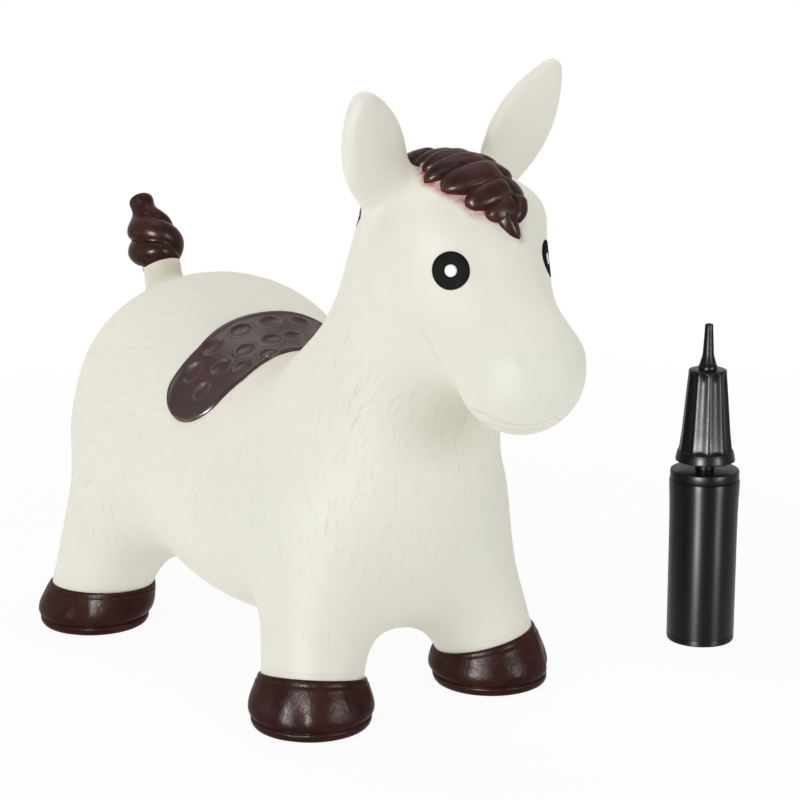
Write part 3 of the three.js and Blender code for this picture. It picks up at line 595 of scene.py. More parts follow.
class Nodes:
    """Builds one material's nodes."""

    def __init__(self, name: str) -> None:
        """Starts a material of that name with its shader."""
        self.material = bpy.data.materials.new(name)
        self.material.use_nodes = True
        self.tree = self.material.node_tree
        self.shader = next(n for n in self.tree.nodes if n.type == "BSDF_PRINCIPLED")
        self.place = self.node("ShaderNodeTexCoord").outputs["Object"]

    def node(self, kind: str, **settings: object) -> bpy.types.Node:
        """Adds a node with its settings."""
        made = self.tree.nodes.new(kind)
        for key, value in settings.items():
            setattr(made, key, value)
        return made

    def feed(self, socket: Socket, value: object) -> None:
        """Links a socket to another one, or sets its value."""
        if isinstance(value, Socket):
            self.tree.links.new(value, socket)
        else:
            socket.default_value = value

    def math(self, operation: str, *values: object, clamp: bool = False) -> Socket:
        """A sum on one, two or three numbers."""
        made = self.node("ShaderNodeMath", operation=operation, use_clamp=clamp)
        for socket, value in zip(made.inputs, values):
            self.feed(socket, value)
        return made.outputs[0]

    def times(self, *values: object) -> Socket:
        """The product of numbers."""
        total = values[0]
        for value in values[1:]:
            total = self.math("MULTIPLY", total, value)
        return total

    def vector(self, operation: str, *values: object) -> bpy.types.Node:
        """A sum on directions."""
        made = self.node("ShaderNodeVectorMath", operation=operation)
        for socket, value in zip(made.inputs, values):
            self.feed(socket, value)
        return made

    def kept(self, name: str, vector: bool = False) -> Socket:
        """A number or direction that the piece keeps on its vertices."""
        made = self.node("ShaderNodeAttribute", attribute_name=name)
        return made.outputs["Vector" if vector else "Fac"]

    def noise(
        self, scale: float, detail: float, roughness: float, stretch: Sequence[float] | None = None
    ) -> Socket:
        """A cloudy pattern.

        Args:
            scale: clouds in each metre.
            detail: how many finer layers it has.
            roughness: how strong the finer layers are.
            stretch: shares of the scale along x, y and z.

        Returns:
            The pattern's strength, from 0 to 1.
        """
        made = self.node("ShaderNodeTexNoise")
        place = self.place
        if stretch is not None:
            mapping = self.node("ShaderNodeMapping")
            self.feed(mapping.inputs["Vector"], place)
            mapping.inputs["Scale"].default_value = tuple(stretch)
            place = mapping.outputs[0]
        self.feed(made.inputs["Vector"], place)
        made.inputs["Scale"].default_value = scale
        made.inputs["Detail"].default_value = detail
        made.inputs["Roughness"].default_value = roughness
        return made.outputs["Fac"]

    def span(
        self, value: object, low: float, high: float, start: float = 0.0, end: object = 1.0
    ) -> Socket:
        """A number carried from one range into another and kept there."""
        made = self.node("ShaderNodeMapRange")
        for socket, number in zip(made.inputs, (value, low, high, start, end)):
            self.feed(socket, number)
        return made.outputs[0]

    def mix(self, share: object, first: object, second: object) -> Socket:
        """A colour between two others."""
        made = self.node("ShaderNodeMix", data_type="RGBA")
        for index, value in ((0, share), (6, first), (7, second)):
            self.feed(made.inputs[index], (*value, 1.0) if isinstance(value, tuple) else value)
        return made.outputs[2]

    def line(self, value: object, middle: float, width: float) -> Socket:
        """A soft line where a number passes a value."""
        away = self.math("DIVIDE", self.math("SUBTRACT", value, middle), width)
        return self.math("EXPONENT", self.times(away, away, -1.0))

    def bump(self, height: object, depth: float, under: object = None) -> Socket:
        """A surface raised by a height pattern.

        Args:
            height: the pattern.
            depth: metres for a pattern of one.
            under: another bump that this one lies on.

        Returns:
            The bumped normal.
        """
        made = self.node("ShaderNodeBump")
        made.inputs["Strength"].default_value = 1.0
        made.inputs["Distance"].default_value = depth
        self.feed(made.inputs["Height"], height)
        if under is not None:
            self.feed(made.inputs["Normal"], under)
        return made.outputs[0]

    def finish(self, **sockets: object) -> Material:
        """Sets the shader's sockets, named with _ for a space, and returns the material."""
        for name, value in sockets.items():
            socket = self.shader.inputs[name.replace("_", " ")]
            self.feed(socket, (*value, 1.0) if isinstance(value, tuple) and len(value) == 3 else value)
        return self.material


@dataclass(frozen=True)
class VinylFinish:
    """Soft cream vinyl with shallow moulded hair strokes, creases and a little overspray, with painted shade
    in its hollows and in its moulded lines.
    """

    cream: Triple = (0.797, 0.783, 0.690)
    blushed: Triple = (0.795, 0.764, 0.674)
    cool: Triple = (0.760, 0.768, 0.668)
    # The colour of random specks, and the painted shade in the moulded lines.
    groove: Triple = (0.520, 0.480, 0.375)
    # The painted shade: the colour that the vinyl is darkened towards where it lies in a hollow.
    shade: Triple = (0.600, 0.560, 0.420)
    overspray: Triple = (0.470, 0.115, 0.120)
    long_strokes: Triple = (50, 0.00062, 0.0080)
    short_strokes: Triple = (80, 0.00048, 0.0050)
    stroke_turn: float = 0.3
    stroke_bow: float = 45.0
    crease: Pair = (0.0050, 0.0006)
    upper_lip: Pair = (0.0, 0.0007)
    lower_lip: Pair = (-0.0046, 0.0006)
    cheek: Pair = (0.0, 0.0011)
    crease_share: float = 0.4
    lower_share: float = 0.7
    cool_share: float = 0.8
    painted_shade_share: float = 0.75
    speck_share: float = 0.10
    # How far the moulded lines are darkened: painted shade in the grooves.
    groove_shade_share: float = 0.23
    cut_depth: float = 0.00042
    grain: float = 0.00004
    waves: float = 0.0007
    rough: Pair = (0.50, 0.62)
    shine: float = 0.05

    def strokes(self, nodes: Nodes, cells: float, width: float, length: float) -> Socket:
        """Single hair strokes, one in each cell of a random pattern, along the lay of the coat.

        Args:
            nodes: the material's nodes.
            cells: cells in each metre.
            width: half the width of a stroke.
            length: half the length of a stroke.

        Returns:
            A pattern that is one in the middle of a stroke.
        """
        cell = nodes.node("ShaderNodeTexVoronoi")
        nodes.feed(cell.inputs["Vector"], nodes.place)
        cell.inputs["Scale"].default_value = cells
        away = nodes.vector("SUBTRACT", nodes.place, cell.outputs["Position"]).outputs[0]
        ahead = nodes.vector("NORMALIZE", nodes.kept("lay", True)).outputs[0]
        normal = nodes.node("ShaderNodeNewGeometry").outputs["Normal"]
        beside = nodes.vector("CROSS_PRODUCT", normal, ahead).outputs[0]
        chance = nodes.node("ShaderNodeSeparateColor")
        nodes.feed(chance.inputs[0], cell.outputs["Color"])
        turn = nodes.span(chance.outputs[0], 0, 1, -self.stroke_turn, self.stroke_turn)
        along = nodes.vector("DOT_PRODUCT", away, ahead).outputs["Value"]
        across = nodes.vector("DOT_PRODUCT", away, beside).outputs["Value"]
        cosine, sine = nodes.math("COSINE", turn), nodes.math("SINE", turn)
        run = nodes.math("ADD", nodes.times(along, cosine), nodes.times(across, sine))
        off = nodes.math("SUBTRACT", nodes.times(across, cosine), nodes.times(along, sine))
        bow = nodes.span(chance.outputs[1], 0, 1, -self.stroke_bow, self.stroke_bow)
        off = nodes.math("ADD", off, nodes.times(bow, nodes.times(run, run)))
        across_share, along_share = nodes.math("DIVIDE", off, width), nodes.math("DIVIDE", run, length)
        ends = nodes.math("POWER", nodes.math("ABSOLUTE", along_share), 3.0)
        total = nodes.math("ADD", nodes.times(across_share, across_share), ends)
        depth = nodes.span(chance.outputs[2], 0, 1, 0.25, 1.0)
        return nodes.times(nodes.math("EXPONENT", nodes.times(total, -1.0)), depth)

    def cuts(self, nodes: Nodes) -> Socket:
        """The moulded lines, bumped in and darkened with painted shade: hair strokes, creases over the
        hooves, mouth, cheeks and nostrils.

        Args:
            nodes: the material's nodes.

        Returns:
            A pattern that is one where a line is deepest.
        """
        strokes = [self.strokes(nodes, *sizes) for sizes in (self.long_strokes, self.short_strokes)]
        patches = nodes.span(nodes.noise(17, 2, 0.5), 0.38, 0.62, 0.6, 1.0)
        coat = nodes.times(nodes.math("MAXIMUM", *strokes), nodes.times(nodes.kept("coat"), patches))
        crease = nodes.times(nodes.line(nodes.kept("coronet"), *self.crease), self.crease_share)
        lower = nodes.times(nodes.line(nodes.kept("mouth"), *self.lower_lip), self.lower_share)
        mouth = nodes.math("ADD", nodes.line(nodes.kept("mouth"), *self.upper_lip), lower)
        mouth = nodes.times(mouth, nodes.kept("lips"))
        cheek = nodes.times(nodes.line(nodes.kept("cheek"), *self.cheek), nodes.kept("cheek_share"))
        lines = nodes.math("ADD", nodes.math("ADD", coat, crease), nodes.math("ADD", mouth, cheek))
        return nodes.math("ADD", lines, nodes.kept("nostril"), clamp=True)

    def make(self) -> Material:
        """The material."""
        nodes = Nodes("cream_vinyl")
        cuts = self.cuts(nodes)
        warm = nodes.span(nodes.noise(9, 4, 0.6), 0.42, 0.68)
        cold = nodes.span(nodes.noise(6.3, 3, 0.5), 0.48, 0.75)
        specks = nodes.span(nodes.noise(420, 2, 0.6), 0.60, 0.78, 0.0, self.speck_share)
        ragged = nodes.span(nodes.noise(260, 3, 0.6), 0.3, 0.6, 0.35, 1.0)
        colour = nodes.mix(warm, self.cream, self.blushed)
        for share, tint in (
            (nodes.times(cold, self.cool_share), self.cool),
            # Painted shade: the vinyl darkens towards an olive tone where the skin lies in a hollow, such as
            # under the jaw.
            (nodes.times(nodes.kept("hollow"), self.painted_shade_share), self.shade),
            (specks, self.groove),
            # Painted shade: the moulded lines are darkened in colour as well as bumped.
            (nodes.times(cuts, self.groove_shade_share), self.groove),
            (nodes.times(nodes.kept("overspray"), ragged), self.overspray),
        ):
            colour = nodes.mix(share, colour, tint)
        grain = nodes.bump(nodes.noise(900, 2, 0.5), self.grain)
        waves = nodes.bump(nodes.noise(48, 2, 0.45), self.waves, grain)
        normal = nodes.bump(nodes.times(cuts, -1.0), self.cut_depth, waves)
        rough = nodes.span(nodes.noise(30, 4, 0.6), 0.3, 0.7, *self.rough)
        return nodes.finish(Base_Color=colour, Roughness=rough, Normal=normal, Specular_IOR_Level=self.shine)


@dataclass(frozen=True)
class BrownFinish:
    """Dark brown paint, half glossy, thin and lighter where the form stands out."""

    name: str
    deep: Triple = (0.0240, 0.0082, 0.0064)
    warm: Triple = (0.0480, 0.0160, 0.0120)
    worn: Triple = (0.200, 0.135, 0.115)
    thin: Triple = (0.150, 0.020, 0.022)
    pits: float = 0.00014
    lumps: float = 0.0008
    low: float = 0.24
    high: float = 0.40
    shine: float = 0.028
    worn_share: float = 0.75
    dust_share: float = 0.16

    def make(self) -> Material:
        """The material."""
        nodes = Nodes(self.name)
        clouds = nodes.span(nodes.noise(34, 5, 0.6), 0.35, 0.68)
        colour = nodes.mix(clouds, self.deep, self.warm)
        rubbed = nodes.span(nodes.noise(220, 3, 0.6), 0.3, 0.62, 0.15, 1.0)
        colour = nodes.mix(nodes.times(nodes.kept("wear"), rubbed, self.worn_share), colour, self.worn)
        dust = nodes.span(nodes.noise(700, 2, 0.6), 0.66, 0.80, 0.0, self.dust_share)
        colour = nodes.mix(dust, colour, self.worn)
        uneven = nodes.span(nodes.noise(180, 3, 0.6), 0.3, 0.6, 0.3, 1.0)
        colour = nodes.mix(nodes.times(nodes.kept("thin"), uneven), colour, self.thin)
        pebbles = nodes.bump(nodes.noise(210, 2, 0.5), self.pits * 1.6)
        fine = nodes.bump(nodes.noise(520, 3, 0.55), self.pits, pebbles)
        normal = nodes.bump(nodes.noise(70, 2, 0.5), self.lumps, fine)
        rough = nodes.span(nodes.noise(85, 4, 0.6), 0.3, 0.7, self.low, self.high)
        return nodes.finish(Base_Color=colour, Roughness=rough, Normal=normal, Specular_IOR_Level=self.shine)


@dataclass(frozen=True)
class PlainFinish:
    """A moulded or printed surface with faint clouds, streaks and grain."""

    name: str
    colour: Triple
    tint: Triple
    low: float
    high: float
    grain: float = 0.00002
    streak: Triple = (1.0, 1.0, 1.0)
    shine: float = 0.5
    drawn: float = 0.0

    def make(self) -> Material:
        """The material."""
        nodes = Nodes(self.name)
        clouds = nodes.span(nodes.noise(60, 4, 0.6, self.streak), 0.35, 0.7)
        colour = nodes.mix(clouds, self.colour, self.tint)
        rough = nodes.span(nodes.noise(140, 4, 0.65, self.streak), 0.3, 0.7, self.low, self.high)
        normal = nodes.bump(nodes.noise(800, 2, 0.5, self.streak), self.grain)
        if self.drawn:
            around = nodes.node("ShaderNodeTangent", direction_type="RADIAL", axis="Z").outputs[0]
            nodes.finish(Tangent=around, Anisotropic=self.drawn, Anisotropic_Rotation=0.25)
        return nodes.finish(Base_Color=colour, Roughness=rough, Normal=normal, Specular_IOR_Level=self.shine)


HAIR = BrownFinish("brown_hair", pits=0.00005, lumps=0.0005, high=0.36, shine=0.056)
SADDLE = BrownFinish("brown_saddle", pits=0.00003, lumps=0.0003, low=0.28, high=0.36, shine=0.30)
EYE_BLACK = PlainFinish(
    "eye_black", (0.0018, 0.0017, 0.0016), (0.0036, 0.0034, 0.0032), 0.76, 0.90, shine=0.03
)
EYE_WHITE = PlainFinish("eye_white", (0.74, 0.73, 0.70), (0.66, 0.65, 0.61), 0.38, 0.5)
VALVE = PlainFinish("valve_vinyl", (0.74, 0.71, 0.63), (0.66, 0.63, 0.55), 0.42, 0.55)
GLOSS = PlainFinish(
    "gloss_black", (0.0030, 0.0030, 0.0033), (0.0050, 0.0050, 0.0054), 0.38, 0.44,
    grain=0.00001, streak=(1, 1, 0.06), shine=0.12, drawn=0.9,
)
SATIN = PlainFinish(
    "satin_black", (0.0040, 0.0040, 0.0044), (0.0075, 0.0075, 0.0080), 0.28, 0.38, grain=0.00003, shine=0.07
)
RUBBER = PlainFinish("black_rubber", (0.006, 0.006, 0.006), (0.012, 0.012, 0.012), 0.6, 0.8)


@dataclass
class Finishes:
    """All the materials of the set."""

    vinyl: Material = field(default_factory=VinylFinish().make)
    brown: Material = field(default_factory=BrownFinish("brown_paint").make)
    hair: Material = field(default_factory=HAIR.make)
    saddle: Material = field(default_factory=SADDLE.make)
    eye_black: Material = field(default_factory=EYE_BLACK.make)
    eye_white: Material = field(default_factory=EYE_WHITE.make)
    valve: Material = field(default_factory=VALVE.make)
    gloss: Material = field(default_factory=GLOSS.make)
    satin: Material = field(default_factory=SATIN.make)
    rubber: Material = field(default_factory=RUBBER.make)


def hand_over(
    piece: Piece,
    material: Material,
    body: Body,
    nodes: Sequence[str],
    shift: bool = True,
    smooth: float = 180.0,
) -> None:
    """Dresses a finished piece and puts it in its place in the set.

    Args:
        piece: the finished object.
        material: its finish.
        body: the body that it rides on.
        nodes: the solids that it stands for.
        shift: whether it was made about the animal's own origin.
        smooth: the sharpest angle in degrees that is shaded smooth.
    """
    activate(piece)
    if smooth >= 180:
        bpy.ops.object.shade_smooth()
    else:
        bpy.ops.object.shade_smooth_by_angle(angle=math.radians(smooth))
    if shift:
        move_points(piece, points_of(piece) + ORIGIN)
    piece.data.materials.clear()
    piece.data.materials.append(material)
    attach(piece, body.value)
    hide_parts(*nodes)
    LOG.info("%s: %d faces on %s", piece.name, len(piece.data.polygons), body.value)


@dataclass(frozen=True)
class Limb:
    """One foot and the sloping line where its hoof meets the leg."""

    front: bool
    side: Side
    height: float = 0.036
    front_slope: float = 0.16
    side_slope: float = 0.18

    @property
    def word(self) -> str:
        """The limb's name."""
        return f"{'front' if self.front else 'rear'}_{self.side.word}"

    def leg(self) -> Taper:
        """The leg's form."""
        return FORM.legs[(0 if self.front else 2) + (0 if self.side is Side.RIGHT else 1)]

    def foot(self) -> Array:
        """The middle of the sole."""
        return np.array([self.leg().end[0], self.leg().end[1], 0.0])

    def coronet(self) -> tuple[Array, Array]:
        """A point on the line where hoof and leg meet, and the upward direction across it."""
        start, end = np.array(self.leg().start), np.array(self.leg().end)
        rise = start - end
        centre = end + rise * (self.height - end[2]) / rise[2]
        return centre, unit([-self.front_slope, -self.side.value * self.side_slope, 1.0])


LIMBS = [Limb(True, side) for side in Side]
LIMBS += [Limb(False, side, front_slope=0.02, side_slope=0.035) for side in Side]


@dataclass
class Skin:
    """The whole cream skin in one piece, ears and tail stump included, as it is moulded."""

    rough_grain: float = 0.0042
    grain: float = 0.0030
    floor: float = 0.012
    overspray_edge: tuple[Triple, ...] = (
        (0.180, -0.024, 0.420), (0.196, -0.026, 0.420), (0.206, -0.030, 0.417), (0.216, -0.034, 0.415),
        (0.234, -0.033, 0.410), (0.245, -0.027, 0.404), (0.251, -0.022, 0.397), (0.258, -0.008, 0.394),
        (0.262, 0.002, 0.387), (0.266, 0.006, 0.378),
    )
    bridge: float = 0.0042
    nostrils: Triple = (0.3135, 0.0215, 0.3035)
    cheek_start: Triple = (0.233, 0.056, 0.322)
    cheek_end: Triple = (0.243, 0.042, 0.290)
    cheek_facing: Triple = (0.45, 0.9, -0.1)
    cheek_bow: float = 4.0
    cheek_middle: float = 0.016
    cheek_reach: float = 0.045
    bridge_width: float = 0.0185
    bridge_low: Pair = (0.296, 0.03)
    bridge_high: Pair = (0.396, -0.02)
    bridge_front: Pair = (0.235, 0.015)
    wing_height: float = 0.0012
    wing_reach: float = 0.009
    wing_width: float = 0.0055
    pit_depth: float = 0.0007
    pit_width: float = 0.0042
    # Reach, range and heights of the painted shade in hollows.
    hollow_reach: float = 0.045
    hollow_room: Pair = (0.86, -0.6)
    hollow_low: Pair = (0.05, 0.03)
    hollow_high: Pair = (0.40, -0.03)
    mouth_height: float = 0.2555
    mouth_curl: float = 0.006
    mouth_half: float = 0.018
    lips_front: Pair = (0.262, 0.014)
    lips_low: Pair = (0.275, -0.006)
    overspray_width: float = 0.0058
    lay_down: Triple = (-0.15, 0.0, -1.0)
    lay_back: Triple = (-1.5, 0.0, 0.75)
    lay_sway: Triple = (0.35, 0.0525, 0.0)
    sway_waves: Triple = (17.0, 23.0, 11.0)
    back_ahead: Pair = (-0.02, -0.16)
    back_above: Pair = (0.09, 0.10)
    face_ahead: Pair = (0.065, 0.045)
    face_lean: float = 0.35
    face_above: Pair = (0.262, 0.03)
    neck_top: Pair = (0.145, 0.05)
    belly_turn: Pair = (0.35, 0.4)
    foot_above: Pair = (0.052, 0.02)
    tail_gap: Pair = (0.004, 0.012)
    jaw_x: Pair = (0.205, 0.045)
    jaw_z: Pair = (0.262, 0.04)
    seat_middle: Pair = (-0.033, 0.27)
    seat_gap: Pair = (0.03, 0.03)
    coat_share: float = 0.75
    jaw_share: float = 0.5

    def rough_form(self) -> Piece:
        """The round forms as spheres, joined and remeshed into one closed skin."""
        parts = []

        def ball(centre: Sequence[float], radii: Sequence[float]) -> None:
            """Adds one sphere."""
            deselect()
            bpy.ops.mesh.primitive_uv_sphere_add(
                segments=32, ring_count=20, radius=1, location=tuple(centre), scale=tuple(radii)
            )
            activate(bpy.context.object)
            bpy.ops.object.transform_apply(location=True, rotation=True, scale=True)
            parts.append(bpy.context.object)

        for form in (FORM.rump, FORM.barrel, FORM.chest, FORM.skull, FORM.brow):
            ball((form.x, 0, form.z), form.radii())
        for taper in (FORM.neck, FORM.muzzle, FORM.dock, *FORM.legs):
            for share in np.linspace(0, 1, 6):
                centre, radius = taper.at(share)
                ball(centre, [radius] * 3)
        parts += [ear.loft() for ear in FORM.ears]
        skin = joined(parts, "skin")
        modify(skin, "REMESH", mode="VOXEL", voxel_size=self.rough_grain)
        return skin

    def build(self) -> Piece:
        """Models the skin.

        Returns:
            The skin about the animal's own origin.
        """
        skin = self.rough_form()
        move_points(skin, FORM.settle(points_of(skin), 8))
        modify(skin, "REMESH", mode="VOXEL", voxel_size=self.grain)
        for _ in range(2):
            modify(skin, "SMOOTH", factor=0.5, iterations=3)
            move_points(skin, FORM.settle(points_of(skin), 3))
        move_points(skin, points_of(skin) + normals_of(skin) * self.relief(points_of(skin))[:, None])
        activate(skin)
        bpy.ops.object.mode_set(mode="EDIT")
        bpy.ops.mesh.select_all(action="SELECT")
        bpy.ops.mesh.bisect(plane_co=(0, 0, self.floor), plane_no=(0, 0, 1), clear_inner=True, use_fill=True)
        bpy.ops.object.mode_set(mode="OBJECT")
        self.note(skin)
        return skin

    def relief(self, points: Array) -> Array:
        """How far the face's own relief stands out: the bridge of the nose and the nostrils.

        Args:
            points: rows of x, y and z on the skin.

        Returns:
            The height at each point.
        """
        x, y, z = points.T
        window = ramp(z, *self.bridge_low) * ramp(z, *self.bridge_high) * ramp(x, *self.bridge_front)
        bridge = self.bridge * np.exp(-((y / self.bridge_width) ** 4)) * window
        away = self.from_nostrils(points)
        wing = self.wing_height * bell(away - self.wing_reach, self.wing_width)
        return bridge + (wing - self.pit_depth * bell(away, self.pit_width))

    @staticmethod
    def left_side(points: Array) -> Array:
        """The points, with those on the right mirrored to the left."""
        return np.stack([points[:, 0], np.abs(points[:, 1]), points[:, 2]], 1)

    def from_nostrils(self, points: Array) -> Array:
        """How far points lie from the nostril on their side."""
        return np.linalg.norm(self.left_side(points) - np.array(self.nostrils), axis=1)

    def note(self, skin: Piece) -> None:
        """Keeps the lay of the coat, the places of creases, the painted shade in hollows and the overspray on
        the skin.

        Args:
            skin: the finished mesh.
        """
        points, normals = points_of(skin), normals_of(skin)
        x, y, z = points.T
        store(skin, "lay", self.lay_of_coat(points, normals))
        store(skin, "coat", self.coat(points, normals))
        # Painted shade: how deep in a hollow each point lies, so that the vinyl is darkened there.
        room = FORM.distance(points + normals * self.hollow_reach) / self.hollow_reach
        window = ramp(z, *self.hollow_low) * ramp(z, *self.hollow_high)
        store(skin, "hollow", ramp(room, *self.hollow_room) * window)
        height = np.full(len(points), 1.0)
        for limb in LIMBS[:2]:
            centre, normal = limb.coronet()
            near = np.linalg.norm((points - centre)[:, :2], axis=1) < 0.08
            height = np.where(near & (z < 0.09), (points - centre) @ normal, height)
        store(skin, "coronet", height)
        curl = self.mouth_curl * ((np.abs(y) - self.mouth_half) / self.mouth_half) ** 2
        store(skin, "mouth", z - (self.mouth_height + curl))
        store(skin, "lips", ramp(x, *self.lips_front) * ramp(z, *self.lips_low))
        left = self.left_side(points)
        start, end = np.array(self.cheek_start), np.array(self.cheek_end)
        reach = unit(end - start)
        beside = unit(np.cross(reach, self.cheek_facing))
        along = (left - start) @ reach
        store(skin, "cheek", (left - start) @ beside + self.cheek_bow * (along - self.cheek_middle) ** 2)
        near = np.linalg.norm(left - (start + end) / 2, axis=1) < self.cheek_reach
        share = ramp(along, 0, 0.010) * ramp(along, 0.042, -0.014)
        store(skin, "cheek_share", np.where(near, share * 0.8, 0))
        store(skin, "nostril", bell(self.from_nostrils(points), 0.0028) * 0.35)
        gap = np.full(len(points), 1.0)
        edge = np.array(self.overspray_edge)
        for first, second in zip(edge, edge[1:]):
            step = second - first
            where = np.clip((points - first) @ step / (step @ step), 0, 1)
            gap = np.minimum(gap, np.linalg.norm(points - first - where[:, None] * step, axis=1))
        store(skin, "overspray", np.clip(1.25 - gap / self.overspray_width, 0, 1) ** 1.2)

    def lay_of_coat(self, points: Array, normals: Array) -> Array:
        """The direction of the hair strokes: down the legs and chest, back over the rump."""
        x, _, z = points.T
        back = ramp(x, *self.back_ahead) * ramp(z, *self.back_above)
        sway = np.sin(points @ self.sway_waves)
        want = np.array(self.lay_down) + np.outer(back, self.lay_back) + np.outer(sway, self.lay_sway)
        want -= normals * (want * normals).sum(1, keepdims=True)
        return want / np.maximum(np.linalg.norm(want, axis=1, keepdims=True), 1e-6)

    def coat(self, points: Array, normals: Array) -> Array:
        """How strong the hair strokes are: none on the face, ears, tail and belly."""
        x, _, z = points.T
        axis = unit(np.array(FORM.neck.end) - np.array(FORM.neck.start))
        up_neck = (points - np.array(FORM.neck.start)) @ axis
        face = ramp(x - self.face_lean * z, *self.face_ahead) * ramp(z, *self.face_above)
        bare = np.maximum(face, ramp(up_neck, *self.neck_top))
        belly = ramp(-normals[:, 2], *self.belly_turn)
        tail = ramp(FORM.dock.distance(points), *self.tail_gap)
        jaw = bell(x - self.jaw_x[0], self.jaw_x[1]) * bell(z - self.jaw_z[0], self.jaw_z[1])
        from_seat = np.hypot(x - self.seat_middle[0], (z - self.seat_middle[1]) * 2)
        shares = (1 - bare) * (1 - belly) * ramp(z, *self.foot_above) * tail
        return shares * ramp(from_seat, *self.seat_gap) * (self.coat_share + self.jaw_share * jaw)

    def dress(self, finishes: Finishes) -> None:
        """Builds the skin and puts it in place of its zones."""
        zones = [f"{zone}_skin" for zone in ("hindquarter", "forequarter", "neck", "head")]
        zones += ["right_ear", "left_ear", "tail_dock"] + [f"{limb.word}_leg_skin" for limb in LIMBS]
        hand_over(self.build(), finishes.vinyl, Body.HOPPER, zones)


@dataclass
class Hoof:
    """A hoof: a sole band under a groove, a swelling wall with a soft dent, and a ridge under its rim."""

    limb: Limb
    sole: float = 0.0455
    band: float = 0.0078
    lip: float = 0.0016
    sides: int = 96
    dent_turn: float = 20.0
    dent_height: float = 0.017
    dent_wide: float = 0.17
    dent_tall: float = 0.011
    dent_depth: float = 0.0034
    wave_height: float = 0.02
    wave_tall: float = 0.01
    wave_depth: float = 0.0004
    waves: int = 5
    outward: float = 0.6
    groove: float = 0.0014
    wear: Pair = (0.10, 0.42)
    sole_rings: Profile = (
        (0.0, 0.0), (30.0, 0.0), (41.6, 0.0), (43.0, 0.3), (44.0, 0.9), (45.0, 2.2), (45.8, 4.0),
        (46.0, 5.6), (45.9, 6.4), (45.4, 7.0), (44.7, 7.35), (44.6, 7.7), (45.0, 8.2),
    )
    wall_rings: Profile = (
        (0.0, 0.4), (0.03, 1.4), (0.07, 2.2), (0.14, 3.1), (0.25, 3.6), (0.38, 3.6), (0.52, 3.2),
        (0.64, 2.6), (0.74, 2.1), (0.80, 1.85), (0.835, 1.7), (0.855, 1.25), (0.875, 0.9), (0.90, 0.85),
        (0.94, 0.8), (0.97, 0.6), (0.99, 0.2), (1.0, -0.4), (1.0, -1.6), (0.97, -4.0),
    )

    def ring(self, angle: Array, share: float, out: float) -> Array:
        """Points of the wall.

        Args:
            angle: the direction of each point around the foot.
            share: 0 at the top of the sole band and 1 at the rim.
            out: how far the wall swells there.

        Returns:
            One row of x, y and z for each angle.
        """
        limb = self.limb
        centre, _ = limb.coronet()
        flat = around(angle)
        rise = limb.front_slope * flat[:, 0] + limb.side_slope * limb.side.value * flat[:, 1]
        along = flat + rise[:, None] * UP
        rim = FORM.through(np.tile(centre, (len(angle), 1)), along, FORM.trunk) + along * self.lip
        low = limb.foot() + flat * self.sole + UP * (self.band + self.groove)
        return low + (rim - low) * share + flat * out

    def build(self) -> Piece:
        """Models the hoof.

        Returns:
            The hoof about the animal's own origin.
        """
        sole, wall, sign = self.sole_rings, self.wall_rings, self.limb.side.value
        piece = stack(f"{self.limb.word}_hoof_shell", len(sole) + len(wall), self.sides)
        spot = math.atan2(sign * self.outward, 1.0) + math.radians(self.dent_turn) * sign

        def form(ring: Array, angle: Array) -> Array:
            """The hoof's place of each corner."""
            points = np.zeros((len(ring), 3))
            flat = around(angle)
            for index, (radius, height) in enumerate(sole):
                here = ring == index
                out = flat[here] * max(radius, 0.01) / PER_METRE
                points[here] = self.limb.foot() + out + UP * height / PER_METRE
            for index, (share, swell) in enumerate(wall):
                here = ring == index + len(sole)
                points[here] = self.ring(angle[here], share, swell / PER_METRE)
            turn, height = np.angle(np.exp(1j * (angle - spot))), points[:, 2]
            dent = bell(turn, self.dent_wide) * bell(height - self.dent_height, self.dent_tall)
            wave = np.sin(angle * self.waves + sign) * bell(height - self.wave_height, self.wave_tall)
            return points - flat * (dent * self.dent_depth - wave * self.wave_depth)[:, None]

        lay(piece, form)
        return piece

    def dress(self, finishes: Finishes) -> None:
        """Builds the hoof and puts it in place of its solid."""
        piece = self.build()
        store_wear(piece, *self.wear)
        hand_over(piece, finishes.brown, Body.HOPPER, [f"{self.limb.word}_hoof"])


